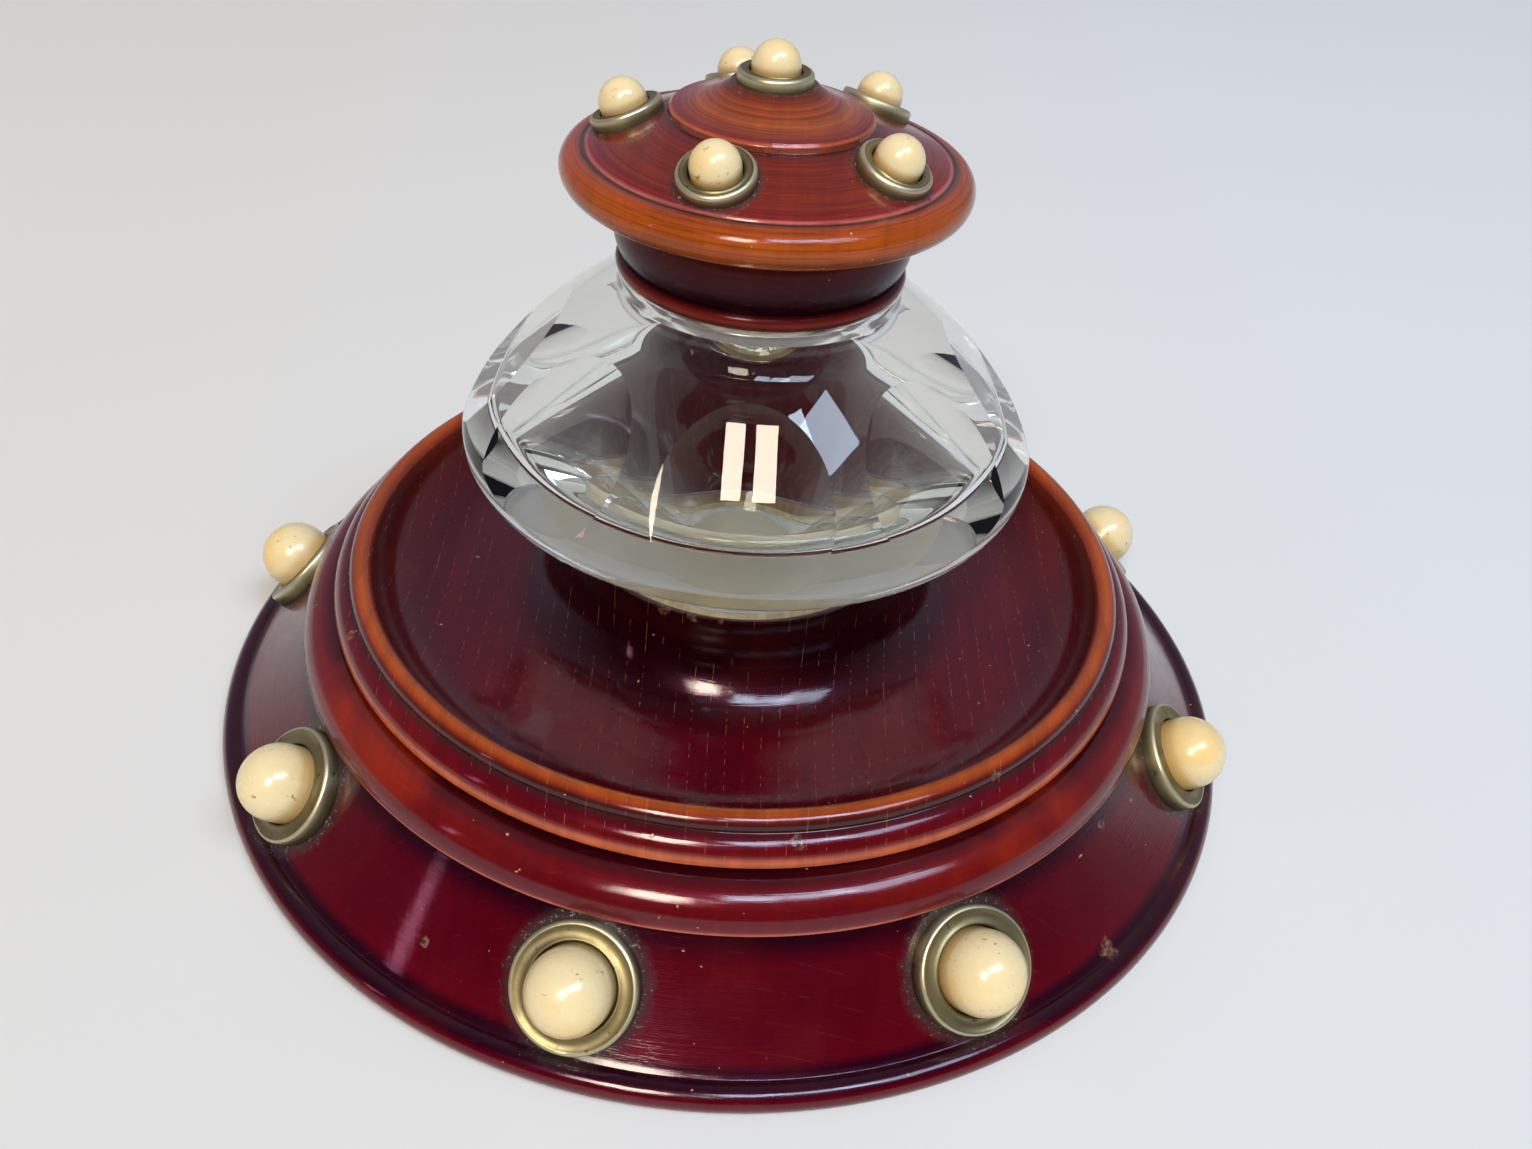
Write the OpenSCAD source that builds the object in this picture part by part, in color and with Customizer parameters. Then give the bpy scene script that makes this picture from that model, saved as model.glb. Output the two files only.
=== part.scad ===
// Desk inkstand: a turned wooden stand with a dished tray, a cut-glass well that
// stands loose in the tray's boss, and a turned lid that lifts off the well.
// Bone studs in metal rings decorate the stand and the lid.
// Millimetres, +Z up, origin on the table under the middle of the foot.

/* [Plinth] */
// Diameter across the foot bead
foot_d = 160; // [156:0.5:176]
// Radius of the half-round foot bead
foot_bead_r = 2; // [1.8:0.1:2.6]
// Height of the foot bead's centre above the table
foot_bead_z = 1.5; // [1.3:0.1:1.8]
// Height at which the sloping skirt meets the foot bead
skirt_foot_z = 3.3; // [2.8:0.1:3.4]
// Hollow of the skirt below a straight slope
skirt_hollow = 0.6; // [0.2:0.1:0.9]
// Radius of the shoulder roll above the skirt
roll_r = 5.2; // [4.6:0.1:5.6]
// Diameter of the circle that the shoulder roll's centre runs on
roll_d = 122; // [120.5:0.5:123.5]
// Height of the shoulder roll's centre
roll_z = 16.7; // [16:0.1:18]
// Fillet that steps in from the roll to the skirt
skirt_step = 0.6; // [0.3:0.1:0.9]
// Height of that fillet
skirt_step_h = 0.7; // [0.5:0.1:1]
// Depth of the flat turned on the roll's top, on which the tray stands
seat_cut = 0.3; // [0.2:0.05:0.5]
// Bore through the plinth
plinth_bore_d = 98; // [90:1:102]

/* [Tray] */
// Diameter of the tray's spigot, which is glued into the plinth
spigot_d = 113; // [110:0.5:114]
// Length of that spigot below the plinth's seat
spigot_h = 9; // [8:0.1:10]
// Height of the tray's dished floor above the plinth's seat
floor_drop = 2.8; // [2.2:0.1:3.6]
// Diameter of the rim's outer edge
rim_edge_d = 122; // [120.5:0.5:124]
// Height of the shadow gap between the shoulder roll and the rim
rim_gap = 0.8; // [0.6:0.1:1]
// Height of the rim's sharp edge above the plinth's seat
rim_edge_h = 2; // [1.6:0.1:2.6]
// Thickness of that sharp edge
rim_edge_t = 0.5; // [0.3:0.1:0.7]
// Undercut below the sharp edge
rim_undercut = 0.9; // [0.6:0.1:1.2]
// Radius of the quarter roll on the rim
rim_roll_r = 3.1; // [2.8:0.1:3.3]
// Diameter of the circle that the rim bead's centre runs on
rim_bead_d = 113.8; // [113.2:0.2:114.6]
// Radius of the rim bead
rim_bead_r = 1.6; // [1.4:0.1:1.8]
// Rise of the bead's centre above the quarter roll
rim_bead_rise = 0.3; // [0.1:0.1:0.5]
// Radius of the hollow between the floor and the rim
dish_cove_r = 10.5; // [8:0.5:12]
// Diameter of the raised boss under the well
boss_d = 50.8; // [49.8:0.2:54]
// Height of the boss above the tray's floor
boss_h = 13; // [12:0.1:14]
// Radius of the hollow at the boss's foot
boss_cove_r = 9.6; // [7:0.2:10.5]
// Wall left round the recess in the boss
recess_wall = 1; // [0.8:0.1:1.6]
// Depth of the recess in the boss
recess_depth = 1.4; // [1:0.1:2.4]

/* [Glass well] */
// Diameter across the well
well_d = 81.6; // [80:0.2:88]
// Height of the well's widest point above its foot
girdle_h = 18.7; // [17:0.1:20]
// Radius of the rounded edge at the widest point
girdle_r = 4.8; // [3.4:0.2:6]
// Radius of the domed shoulder in section
shoulder_r = 70; // [60:1:90]
// Diameter of the ground foot
well_foot_d = 43.6; // [40:0.2:45]
// Height of the upright edge round the foot
well_foot_h = 0.8; // [0.4:0.1:1.6]
// Height of the glass flange's base above the foot
flange_h = 41; // [40:0.2:45]
// Diameter of the glass flange under the lid
flange_d = 38.6; // [38:0.2:40]
// Thickness of that flange
flange_t = 1.5; // [1.2:0.1:2.4]
// Outside diameter of the neck inside the lid
neck_d = 30.4; // [28:0.2:31.4]
// Radius of the rounded lip of the neck
lip_r = 1; // [0.5:0.1:1.5]
// Diameter of the mouth
mouth_d = 24.4; // [23:0.2:26]
// Thickness of the glass at the widest point
girdle_wall = 6.9; // [6:0.1:8]
// Radius of the hollow's rounded edge at the widest point
hollow_r = 1.7; // [1.2:0.1:2.4]
// Height of the hollow's widest point above the outside's
hollow_lift = 1.4; // [1:0.1:2]
// Thickness of the glass bottom
bottom_t = 5.3; // [4:0.1:7]
// Diameter of the hollow's flat floor
hollow_floor_d = 20; // [16:0.5:24]
// Rise of the rounded slope round the flat floor above a straight one
hollow_bulge = 3.7; // [2:0.1:4.4]
// Slope of the hollow's roof
roof_slope = 30.7; // [28:0.1:33]
// Radius of the round from the roof into the mouth
throat_r = 8.6; // [6:0.2:11]

/* [Cut panels] */
// Number of flat panels cut round the well
panels = 8; // [6:1:10]
// Turn of the first panel, seen from above
panel_turn = 2; // [0:0.5:45]
// How much steeper the panels stand than the shoulder
panel_lean = 6.2; // [4:0.2:7]
// Depth of the panels below the rounded edge
panel_depth = 1.2; // [0.8:0.1:1.6]

/* [Lid] */
// Diameter across the brim
brim_d = 53.2; // [53:0.2:58]
// Radius of the brim's rounded edge
brim_r = 2.5; // [2:0.1:2.6]
// Height of the collar, which is the sleeve round the neck
collar_h = 10.4; // [9.8:0.1:11.4]
// Greatest diameter of the collar
collar_d = 39.7; // [39.4:0.1:40.6]
// Swell of the collar's side beyond a straight one
collar_swell = 1.2; // [0.8:0.1:1.6]
// Diameter of the collar's lower band
collar_band_d = 38.9; // [38.4:0.1:39.2]
// Height of the collar's lower band
collar_band_h = 2.3; // [1.8:0.1:2.8]
// Diameter of the flat under the cap, where it meets the collar
cap_seat_d = 39; // [38.4:0.1:39.6]
// Length of the cap's tenon in the collar
tenon_h = 1.6; // [1:0.1:2]
// Rise from the collar's top to the middle of the brim's edge
brim_rise = 3.1; // [2.8:0.1:3.6]
// Distance of the groove in from the brim's edge
groove_in = 3.2; // [2.8:0.1:3.4]
// Radius of that groove's round bottom
groove_r = 0.45; // [0.3:0.05:0.6]
// Rise of the lid's band above the middle of the brim's edge, at the groove
band_foot_h = 2.6; // [2.5:0.1:3]
// Rise of the sloping band from the groove to the centre disc
band_rise = 4.2; // [3.8:0.1:4.8]
// Diameter of the centre disc
disc_d = 26; // [25:0.2:26.8]
// Height of the centre disc's edge
disc_edge_h = 1; // [0.8:0.1:1.4]
// Chamfer on the centre disc's edge
disc_chamfer = 0.4; // [0.2:0.1:0.6]
// Radius of the fine groove at the foot of the centre disc
quirk_r = 0.3; // [0.2:0.05:0.4]
// Rise of the disc from its edge to the crown stud's seat
disc_rise = 3.2; // [2.6:0.1:3.8]
// Hollow of the disc below a straight slope
disc_hollow = 0.5; // [0.2:0.1:0.8]
// Flat left round the crown stud's ring
crown_margin = 0.6; // [0.4:0.1:1]
// Thickness of the cork that closes the mouth
cork_t = 2; // [1:0.1:2.4]
// Gap between the cork and the neck's lip
cork_gap = 0.3; // [0.1:0.1:0.5]

/* [Stand studs] */
// Outside diameter of the rings
stand_ring_d = 16.2; // [15:0.1:16.6]
// Height of the rings
stand_ring_h = 2.8; // [2.4:0.1:3.4]
// Depth that the rings are let into the wood
stand_ring_sink = 1; // [0.8:0.1:1.2]
// Diameter of the bone domes
stand_bone_d = 10.8; // [9.6:0.1:11.4]
// Length of bone between the ring and the round of the dome
stand_bone_rise = 1.4; // [0.4:0.1:1.8]
// Diameter of the bone's peg in the wood
stand_peg_d = 5.4; // [4:0.1:6]
// Length of that peg
stand_peg_l = 6; // [4:0.1:7]

/* [Lid studs] */
// Outside diameter of the rings
lid_ring_d = 9.6; // [9:0.1:9.8]
// Height of the rings
lid_ring_h = 2.1; // [1.7:0.1:2.4]
// Depth that the rings are let into the wood
lid_ring_sink = 0.6; // [0.4:0.05:0.8]
// Diameter of the bone domes
lid_bone_d = 6.2; // [5.6:0.1:6.4]
// Length of bone between the ring and the round of the dome
lid_bone_rise = 0.4; // [0.2:0.1:0.8]
// Diameter of the bone's peg in the wood
lid_peg_d = 3.2; // [2.4:0.1:3.6]
// Length of that peg
lid_peg_l = 3.4; // [2.4:0.1:3.8]

/* [Rings] */
// Rounding of the rings' outer edge
ring_round = 0.5; // [0.3:0.1:0.8]
// Hollow of the rings' upper face
ring_dish = 0.2; // [0.1:0.05:0.3]
// Gap between a bone and its ring
ring_gap = 0.2; // [0.1:0.05:0.3]

/* [Fits] */
// Radial clearance of glued turned joints
glue_fit = 0.08; // [0.04:0.01:0.15]
// Radial clearance of the collar round the neck
neck_fit = 0.5; // [0.3:0.05:0.8]
// Clearance under a loose piece that stands on another
rest_fit = 0.1; // [0.05:0.01:0.2]

/* [Hidden] */
$fn = 128;
big = 200;
arc_steps = 10;

// Studs were set by eye: first stud's bearing, and how far each strays from even spacing
stand_turn = 33;
stand_stray = [-6, -1.4, 3.4, 8, 4, 1, -3.4, -5];
stand_angles = strayed(stand_turn, stand_stray);
lid_turn = 37.4;
lid_stray = [6.6, -2.8, -4.2, -0.4, 0.8];
lid_angles = strayed(lid_turn, lid_stray);

wood = [0.36, 0.05, 0.06];
wood_worn = [0.55, 0.2, 0.08];
glass = [0.82, 0.88, 0.88, 0.45];
bone = [0.94, 0.89, 0.75];
nickel = [0.62, 0.6, 0.48];
cork = [0.7, 0.52, 0.34];

// Skirt: from the fillet under the roll down to the foot bead
foot_bead = [foot_d / 2 - foot_bead_r, foot_bead_z];
skirt_foot = [foot_bead[0] - side(foot_bead_r, skirt_foot_z - foot_bead_z), skirt_foot_z];
skirt_top = [roll_d / 2 + roll_r - skirt_step, roll_z - skirt_step_h];
roll = [roll_d / 2, roll_z];

// The tray stands on a flat turned on the roll's top
seat_z = roll_z + roll_r - seat_cut;
seat_r = roll_d / 2 - side(roll_r, roll_r - seat_cut);
spigot_z = seat_z - spigot_h;
floor_z = seat_z - floor_drop;
boss_z = floor_z + boss_h;
recess_z = boss_z - recess_depth;
rim_edge_z = seat_z + rim_edge_h;
rim_roll = [rim_edge_d / 2 - rim_roll_r, rim_edge_z];
rim_bead = [rim_bead_d / 2, rim_edge_z + rim_roll_r + rim_bead_rise];

// Well
well_foot_z = recess_z + rest_fit;
girdle = [well_d / 2 - girdle_r, well_foot_z + girdle_h];
flange_z = well_foot_z + flange_h;
flange_top_z = flange_z + flange_t;
flange_foot = [flange_d / 2, flange_z];
shoulder = holding_centre(flange_foot, shoulder_r, girdle, girdle_r);
panel_tilt = tangent_tilt(flange_foot, girdle, girdle_r) - panel_lean;
panel_dist = girdle[0] * cos(panel_tilt) + girdle_r - panel_depth;

// Lid, from the collar's underside up
collar_z = flange_top_z + rest_fit;
collar_top_z = collar_z + collar_h;
collar_bore_r = neck_d / 2 + neck_fit;
cork_z = collar_top_z - tenon_h - cork_t;
neck_top_z = cork_z - cork_gap;
brim = [brim_d / 2 - brim_r, collar_top_z + brim_rise];
band_foot = [brim_d / 2 - groove_in, brim[1] + band_foot_h];
band_top = [disc_d / 2, band_foot[1] + band_rise];
disc_z = band_top[1] + disc_edge_h;
disc_foot = [disc_d / 2 - disc_chamfer, disc_z];
crown_z = disc_z + disc_rise;
disc_top = [lid_ring_d / 2 + crown_margin, crown_z];

// Bearings of a row of studs, evenly spaced but for each one's stray
function strayed(turn, strays) =
    [for (i = [0 : len(strays) - 1]) turn + 360 / len(strays) * i + strays[i]];
// Third side of a right-angled triangle
function side(long, short) = sqrt(long ^ 2 - short ^ 2);
// Middle of the line a-b
function middle(a, b) = (a + b) / 2;
// Circle that hollows the line a-b by the depth s, from its open side: radius and centre
function hollow_radius(a, b, s) = norm(b - a) ^ 2 / (8 * s) + s / 2;
function hollow_centre(a, b, s) =
    let (d = (b - a) / norm(b - a))
    middle(a, b) + (hollow_radius(a, b, s) - s) * [d[1], -d[0]];
// Centre of a circle of radius r through p that holds the circle (c, cr) inside, touching it
function holding_centre(p, r, c, cr) =
    let (v = c - p, d = norm(v), u = v / d,
         a = (r ^ 2 - (r - cr) ^ 2 + d ^ 2) / (2 * d), h = side(r, a))
    p + a * u + h * [u[1], -u[0]];
// Point where the line from p touches the circle (c, r), on its outer side
function touch_point(p, c, r) =
    let (v = c - p, l = side(norm(v), r), a = atan2(v[1], v[0]) - asin(r / norm(v)))
    p + l * [cos(a), sin(a)];
// Tilt above the horizontal of the outward normal of the line from p that touches (c, r)
function tangent_tilt(p, c, r) = atan2(c[0] - p[0], p[1] - c[1]) + asin(r / norm(c - p));
// Point where the circle (c, r) touches the smaller circle round p that it holds
function run_in(c, r, p) = c + r * (p - c) / norm(p - c);
// Points along the circle (c, r) from the point p to the height z, by small steps
function arc_up(c, r, p, z) =
    let (from = atan2(p[1] - c[1], p[0] - c[0]), to = asin((z - c[1]) / r))
    [for (i = [0 : arc_steps]) c + r * [cos(from + (to - from) * i / arc_steps),
                                        sin(from + (to - from) * i / arc_steps)]];
// Tilt of the outward normal of the sloping line from top to foot
function slope_tilt(top, foot) = atan2(top[1] - foot[1], foot[0] - top[0]);

// ---- Shared shapes ----

// A circle in the section plane
module disc2(c, r) {
    translate(c)
        circle(r);
}

// A box in the section plane, from corner a to corner b
module box2(a, b) {
    translate(a)
        square(b - a);
}

// Places its children with +Z along the outward normal at the middle of the line top-foot
module on_slope(top, foot, angle) {
    rotate([0, 0, angle])
        translate([middle(top, foot)[0], 0, middle(top, foot)[1]])
            rotate([0, slope_tilt(top, foot), 0])
                children();
}

// Seat for one stud: a flat recess for the ring and a blind hole for the bone's peg
module stud_seat(ring_d, sink, peg_d, peg_l) {
    translate([0, 0, -sink])
        cylinder(h = ring_d, d = ring_d + 2 * glue_fit);
    translate([0, 0, -sink - peg_l])
        cylinder(h = peg_l + sink, d = peg_d + 2 * glue_fit);
}

// Metal ring with a rounded outer edge and a dished top; z = 0 is the wood's surface
module stud_ring(ring_d, ring_h, sink, bone_d) {
    bore_r = bone_d / 2 + ring_gap;
    top = ring_h - sink;
    rounding = [ring_d / 2 - ring_round, top - ring_round];
    dish_top = [bore_r, top];
    dish_foot = [rounding[0], top];
    color(nickel) rotate_extrude() difference() {
        union() {
            box2([bore_r, -sink], [ring_d / 2, rounding[1]]);
            box2([bore_r, -sink], [rounding[0], top]);
            disc2(rounding, ring_round);
        }
        disc2(hollow_centre(dish_foot, dish_top, ring_dish),
              hollow_radius(dish_foot, dish_top, ring_dish));
    }
}

// Bone stud: a peg in the wood, a shank through the ring and a round dome
module stud_bone(bone_d, ring_h, sink, rise, peg_d, peg_l) {
    shank_top = ring_h - sink + rise;
    color(bone) rotate_extrude() {
        box2([0, glue_fit - sink - peg_l], [peg_d / 2, -sink]);
        box2([0, -sink], [bone_d / 2, shank_top]);
        intersection() {
            disc2([0, shank_top], bone_d / 2);
            box2([0, shank_top], [bone_d, shank_top + bone_d]);
        }
    }
}

// ---- The stand ----

module plinth_section() {
    difference() {
        polygon([[plinth_bore_d / 2, 0], [foot_bead[0], 0], skirt_foot, skirt_top,
                 [skirt_top[0], roll_z], roll, [roll[0], seat_z], [plinth_bore_d / 2, seat_z]]);
        disc2(hollow_centre(skirt_foot, skirt_top, skirt_hollow),
              hollow_radius(skirt_foot, skirt_top, skirt_hollow));
    }
    intersection() {
        disc2(foot_bead, foot_bead_r);
        box2([0, 0], [foot_d, foot_d]);
    }
    intersection() {
        disc2(roll, roll_r);
        box2([seat_r, roll_z], [foot_d, roll_z + roll_r]);
    }
}

module plinth() {
    color(wood) difference() {
        rotate_extrude()
            plinth_section();
        translate([0, 0, spigot_z - glue_fit])
            cylinder(h = big, d = spigot_d + 2 * glue_fit);
        for (a = stand_angles)
            on_slope(skirt_top, skirt_foot, a)
                stud_seat(stand_ring_d, stand_ring_sink, stand_peg_d, stand_peg_l);
    }
}

module tray_section() {
    over = boss_z + 1;
    dish_cove = [rim_bead[0] - rim_bead_r - dish_cove_r, floor_z + dish_cove_r];
    boss_cove = [boss_d / 2 + boss_cove_r, floor_z + boss_cove_r];
    difference() {
        union() {
            box2([0, spigot_z], [spigot_d / 2, rim_bead[1]]);
            box2([0, seat_z], [seat_r, rim_edge_z]);
            box2([0, seat_z + rim_gap], [rim_edge_d / 2 - rim_undercut, rim_edge_z]);
            box2([0, rim_edge_z - rim_edge_t], [rim_edge_d / 2, rim_edge_z]);
            box2([0, rim_edge_z], [rim_bead[0], boss_z]);
            intersection() {
                disc2(rim_roll, rim_roll_r);
                box2([0, rim_edge_z], [rim_edge_d, over]);
            }
        }
        // The dish: floor, rim hollow and boss hollow
        box2([boss_cove[0], floor_z], [dish_cove[0], over]);
        disc2(dish_cove, dish_cove_r);
        disc2(boss_cove, boss_cove_r);
        box2([boss_d / 2, boss_cove[1]], [rim_bead[0] - rim_bead_r, over]);
        box2([rim_bead[0] - rim_bead_r, rim_bead[1]], [rim_edge_d, over]);
        box2([0, recess_z], [boss_d / 2 - recess_wall, over]);
    }
    disc2(rim_bead, rim_bead_r);
}

module tray() {
    color(wood_worn) rotate_extrude()
        tray_section();
}

// ---- The glass well ----

module well_section() {
    shoulder_foot = run_in(shoulder, shoulder_r, girdle);
    foot_edge = [well_foot_d / 2, well_foot_z + well_foot_h];
    flange_lip = [flange_d / 2 - flange_t / 2, flange_top_z - flange_t / 2];
    lip = [neck_d / 2 - lip_r, neck_top_z - lip_r];
    // Domed shoulder, rounded edge and underside
    polygon(concat([[0, shoulder_foot[1]]], arc_up(shoulder, shoulder_r, shoulder_foot, flange_z),
                   [[0, flange_z]]));
    intersection() {
        disc2(girdle, girdle_r);
        box2([0, 0], [well_d, shoulder_foot[1]]);
    }
    polygon([[0, well_foot_z], [well_foot_d / 2, well_foot_z], foot_edge,
             touch_point(foot_edge, girdle, girdle_r), girdle, [girdle[0], shoulder_foot[1]],
             [0, shoulder_foot[1]]]);
    // Flange and neck
    box2([0, flange_z], [flange_d / 2, flange_lip[1]]);
    box2([0, flange_z], [flange_lip[0], flange_top_z]);
    disc2(flange_lip, flange_t / 2);
    box2([0, flange_top_z], [neck_d / 2, lip[1]]);
    box2([0, flange_top_z], [lip[0], neck_top_z]);
    disc2(lip, lip_r);
}

module well_hollow_section() {
    edge = [well_d / 2 - girdle_wall - hollow_r, girdle[1] + hollow_lift];
    roof_foot = edge + hollow_r * [sin(roof_slope), cos(roof_slope)];
    turn_x = mouth_d / 2 + throat_r * (1 - sin(roof_slope));
    turn_z = roof_foot[1] + (roof_foot[0] - turn_x) * tan(roof_slope);
    throat = [mouth_d / 2 + throat_r, turn_z + throat_r * cos(roof_slope)];
    floor_edge = [hollow_floor_d / 2, well_foot_z + bottom_t];
    slope_top = edge - [0, hollow_r];
    // The mouth and the round down into the hollow
    box2([0, throat[1]], [mouth_d / 2, neck_top_z + lip_r]);
    difference() {
        box2([0, turn_z], [turn_x, throat[1]]);
        disc2(throat, throat_r);
    }
    // Roof, rounded edge, bulged slope and floor
    disc2(edge, hollow_r);
    difference() {
        polygon([[0, floor_edge[1]], floor_edge, slope_top, edge, roof_foot, [turn_x, turn_z],
                 [0, turn_z]]);
        disc2(hollow_centre(floor_edge, slope_top, hollow_bulge),
              hollow_radius(floor_edge, slope_top, hollow_bulge));
    }
}

module panel_cut(i) {
    rotate([0, 0, 270 + panel_turn + 360 / panels * i])
        translate([0, 0, girdle[1]])
            rotate([0, 90 - panel_tilt, 0])
                translate([-big / 2, -big / 2, panel_dist])
                    cube(big);
}

module ink_well() {
    color(glass) difference() {
        rotate_extrude()
            well_section();
        rotate_extrude()
            well_hollow_section();
        for (i = [0 : panels - 1])
            panel_cut(i);
    }
}

// ---- The lid ----

module lid_cap_section() {
    difference() {
        union() {
            polygon([[0, collar_top_z], [cap_seat_d / 2, collar_top_z], brim - [0, brim_r],
                     brim + [0, brim_r], band_foot, band_top, [0, band_top[1]]]);
            disc2(brim, brim_r);
            polygon([[0, band_top[1]], band_top, [disc_d / 2, disc_z - disc_chamfer], disc_foot,
                     disc_top, [0, crown_z]]);
        }
        disc2(hollow_centre(disc_foot, disc_top, disc_hollow),
              hollow_radius(disc_foot, disc_top, disc_hollow));
        disc2(band_foot + [groove_r / 2, groove_r / 2], groove_r);
        disc2(band_top + [quirk_r / 3, quirk_r / 2], quirk_r);
    }
    box2([0, collar_top_z - tenon_h], [collar_bore_r - glue_fit, collar_top_z]);
}

module lid_cap() {
    color(wood_worn) difference() {
        rotate_extrude()
            lid_cap_section();
        for (a = lid_angles)
            on_slope(band_top, band_foot, a)
                lid_seat();
        translate([0, 0, crown_z])
            lid_seat();
    }
}

module lid_seat() {
    stud_seat(lid_ring_d, lid_ring_sink, lid_peg_d, lid_peg_l);
}

module lid_collar_section() {
    band_r = collar_band_h / 2;
    band = [collar_band_d / 2 - band_r, collar_z + band_r];
    barrel_foot = [collar_d / 2 - collar_swell, collar_z + collar_band_h];
    barrel_top = [barrel_foot[0], collar_top_z];
    barrel_r = hollow_radius(barrel_foot, barrel_top, collar_swell);
    box2([collar_bore_r, collar_z], [band[0], collar_top_z]);
    intersection() {
        disc2(band, band_r);
        box2([collar_bore_r, collar_z], [collar_d, barrel_foot[1]]);
    }
    intersection() {
        disc2([collar_d / 2 - barrel_r, middle(barrel_foot, barrel_top)[1]], barrel_r);
        box2([collar_bore_r, barrel_foot[1]], [collar_d, collar_top_z]);
    }
}

module lid_collar() {
    color(wood) rotate_extrude()
        lid_collar_section();
}

module lid_cork() {
    color(cork) translate([0, 0, cork_z])
        cylinder(h = cork_t, r = collar_bore_r - 2 * glue_fit);
}

// ---- Studs ----

module stand_ring(i) {
    on_slope(skirt_top, skirt_foot, stand_angles[i])
        stud_ring(stand_ring_d, stand_ring_h, stand_ring_sink, stand_bone_d);
}

module stand_bone(i) {
    on_slope(skirt_top, skirt_foot, stand_angles[i])
        stud_bone(stand_bone_d, stand_ring_h, stand_ring_sink, stand_bone_rise,
                  stand_peg_d, stand_peg_l);
}

module lid_stud_ring() {
    stud_ring(lid_ring_d, lid_ring_h, lid_ring_sink, lid_bone_d);
}

module lid_stud_bone() {
    stud_bone(lid_bone_d, lid_ring_h, lid_ring_sink, lid_bone_rise, lid_peg_d, lid_peg_l);
}

module lid_ring(i) {
    on_slope(band_top, band_foot, lid_angles[i])
        lid_stud_ring();
}

module lid_bone(i) {
    on_slope(band_top, band_foot, lid_angles[i])
        lid_stud_bone();
}

module crown_ring() {
    translate([0, 0, crown_z])
        lid_stud_ring();
}

module crown_bone() {
    translate([0, 0, crown_z])
        lid_stud_bone();
}

plinth();
tray();
ink_well();
lid_cap();
lid_collar();
lid_cork();
stand_ring(0);  // stand_ring_1
stand_ring(1);  // stand_ring_2
stand_ring(2);  // stand_ring_3
stand_ring(3);  // stand_ring_4
stand_ring(4);  // stand_ring_5
stand_ring(5);  // stand_ring_6
stand_ring(6);  // stand_ring_7
stand_ring(7);  // stand_ring_8
stand_bone(0);  // stand_bone_1
stand_bone(1);  // stand_bone_2
stand_bone(2);  // stand_bone_3
stand_bone(3);  // stand_bone_4
stand_bone(4);  // stand_bone_5
stand_bone(5);  // stand_bone_6
stand_bone(6);  // stand_bone_7
stand_bone(7);  // stand_bone_8
lid_ring(0);  // lid_ring_1
lid_ring(1);  // lid_ring_2
lid_ring(2);  // lid_ring_3
lid_ring(3);  // lid_ring_4
lid_ring(4);  // lid_ring_5
lid_bone(0);  // lid_bone_1
lid_bone(1);  // lid_bone_2
lid_bone(2);  // lid_bone_3
lid_bone(3);  // lid_bone_4
lid_bone(4);  // lid_bone_5
crown_ring();
crown_bone();
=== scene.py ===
"""Desk inkstand: the turned, cut and polished pieces, their finishes and a small studio.

Every piece is drawn as half a section and turned about the stand's axis. Sizes in the
panels are lengths; inside the operators sections are written in millimetres.
"""
import math
from types import SimpleNamespace

import bmesh
import bpy
from bpy.props import FloatProperty, FloatVectorProperty, IntProperty, PointerProperty
from mathutils import Matrix, Vector


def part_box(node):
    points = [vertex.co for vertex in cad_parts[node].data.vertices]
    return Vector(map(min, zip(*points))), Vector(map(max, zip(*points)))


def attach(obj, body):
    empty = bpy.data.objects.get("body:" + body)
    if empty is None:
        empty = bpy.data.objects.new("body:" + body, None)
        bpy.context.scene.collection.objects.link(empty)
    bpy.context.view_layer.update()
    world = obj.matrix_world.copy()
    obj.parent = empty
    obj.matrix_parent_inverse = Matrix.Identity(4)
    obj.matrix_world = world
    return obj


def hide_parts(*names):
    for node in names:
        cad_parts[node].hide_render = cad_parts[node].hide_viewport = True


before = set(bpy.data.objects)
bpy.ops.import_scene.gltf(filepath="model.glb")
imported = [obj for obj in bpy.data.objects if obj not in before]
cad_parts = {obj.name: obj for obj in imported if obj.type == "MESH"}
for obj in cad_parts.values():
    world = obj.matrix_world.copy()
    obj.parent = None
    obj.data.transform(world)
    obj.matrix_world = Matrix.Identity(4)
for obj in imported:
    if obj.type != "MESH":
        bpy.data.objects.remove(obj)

bl_info = {
    "name": "Desk inkstand",
    "version": (1, 0, 0),
    "blender": (4, 5, 0),
    "location": "View3D > Sidebar > Inkstand",
    "description": "Turned mahogany inkstand with a cut-glass well and bone studs",
    "category": "Add Mesh",
}

MM = 0.001
# Facets round each kind of turned piece
STAND_STEPS, WELL_STEPS, LID_STEPS, CORK_STEPS, RING_STEPS, BONE_STEPS = 240, 288, 200, 96, 112, 72
# Small fits and rounds, and how far dirt reaches on a ring, in millimetres
GLUE_GAP = 0.08
MOUTH_ROUND = 0.6
RING_BORE_ROUND = 0.25
RING_DIRT_REACH = 0.5
# A panel's plane cuts only the faces beyond it or at most this far below it, in millimetres
PANEL_BAND = 4
# Lamps and floor, in metres
LAMP_DISTANCE = 5.0
LAMP_AIM = Vector((0, 0, 0.02))
FLOOR_HALF = 6.0
# Strength of the even fill, and the colours of the lamps
SKY_FILL = 0.25
WARM, COOL, PINK = (1.0, 0.87, 0.70), (0.66, 0.80, 1.0), (1.0, 0.35, 0.6)


# ---- Properties -------------------------------------------------------------

def length(name, description, millimetres):
    """A size of the object, given in millimetres."""
    return FloatProperty(name=name, description=description, default=millimetres * MM,
                         min=0.0, precision=4, unit="LENGTH")


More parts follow.
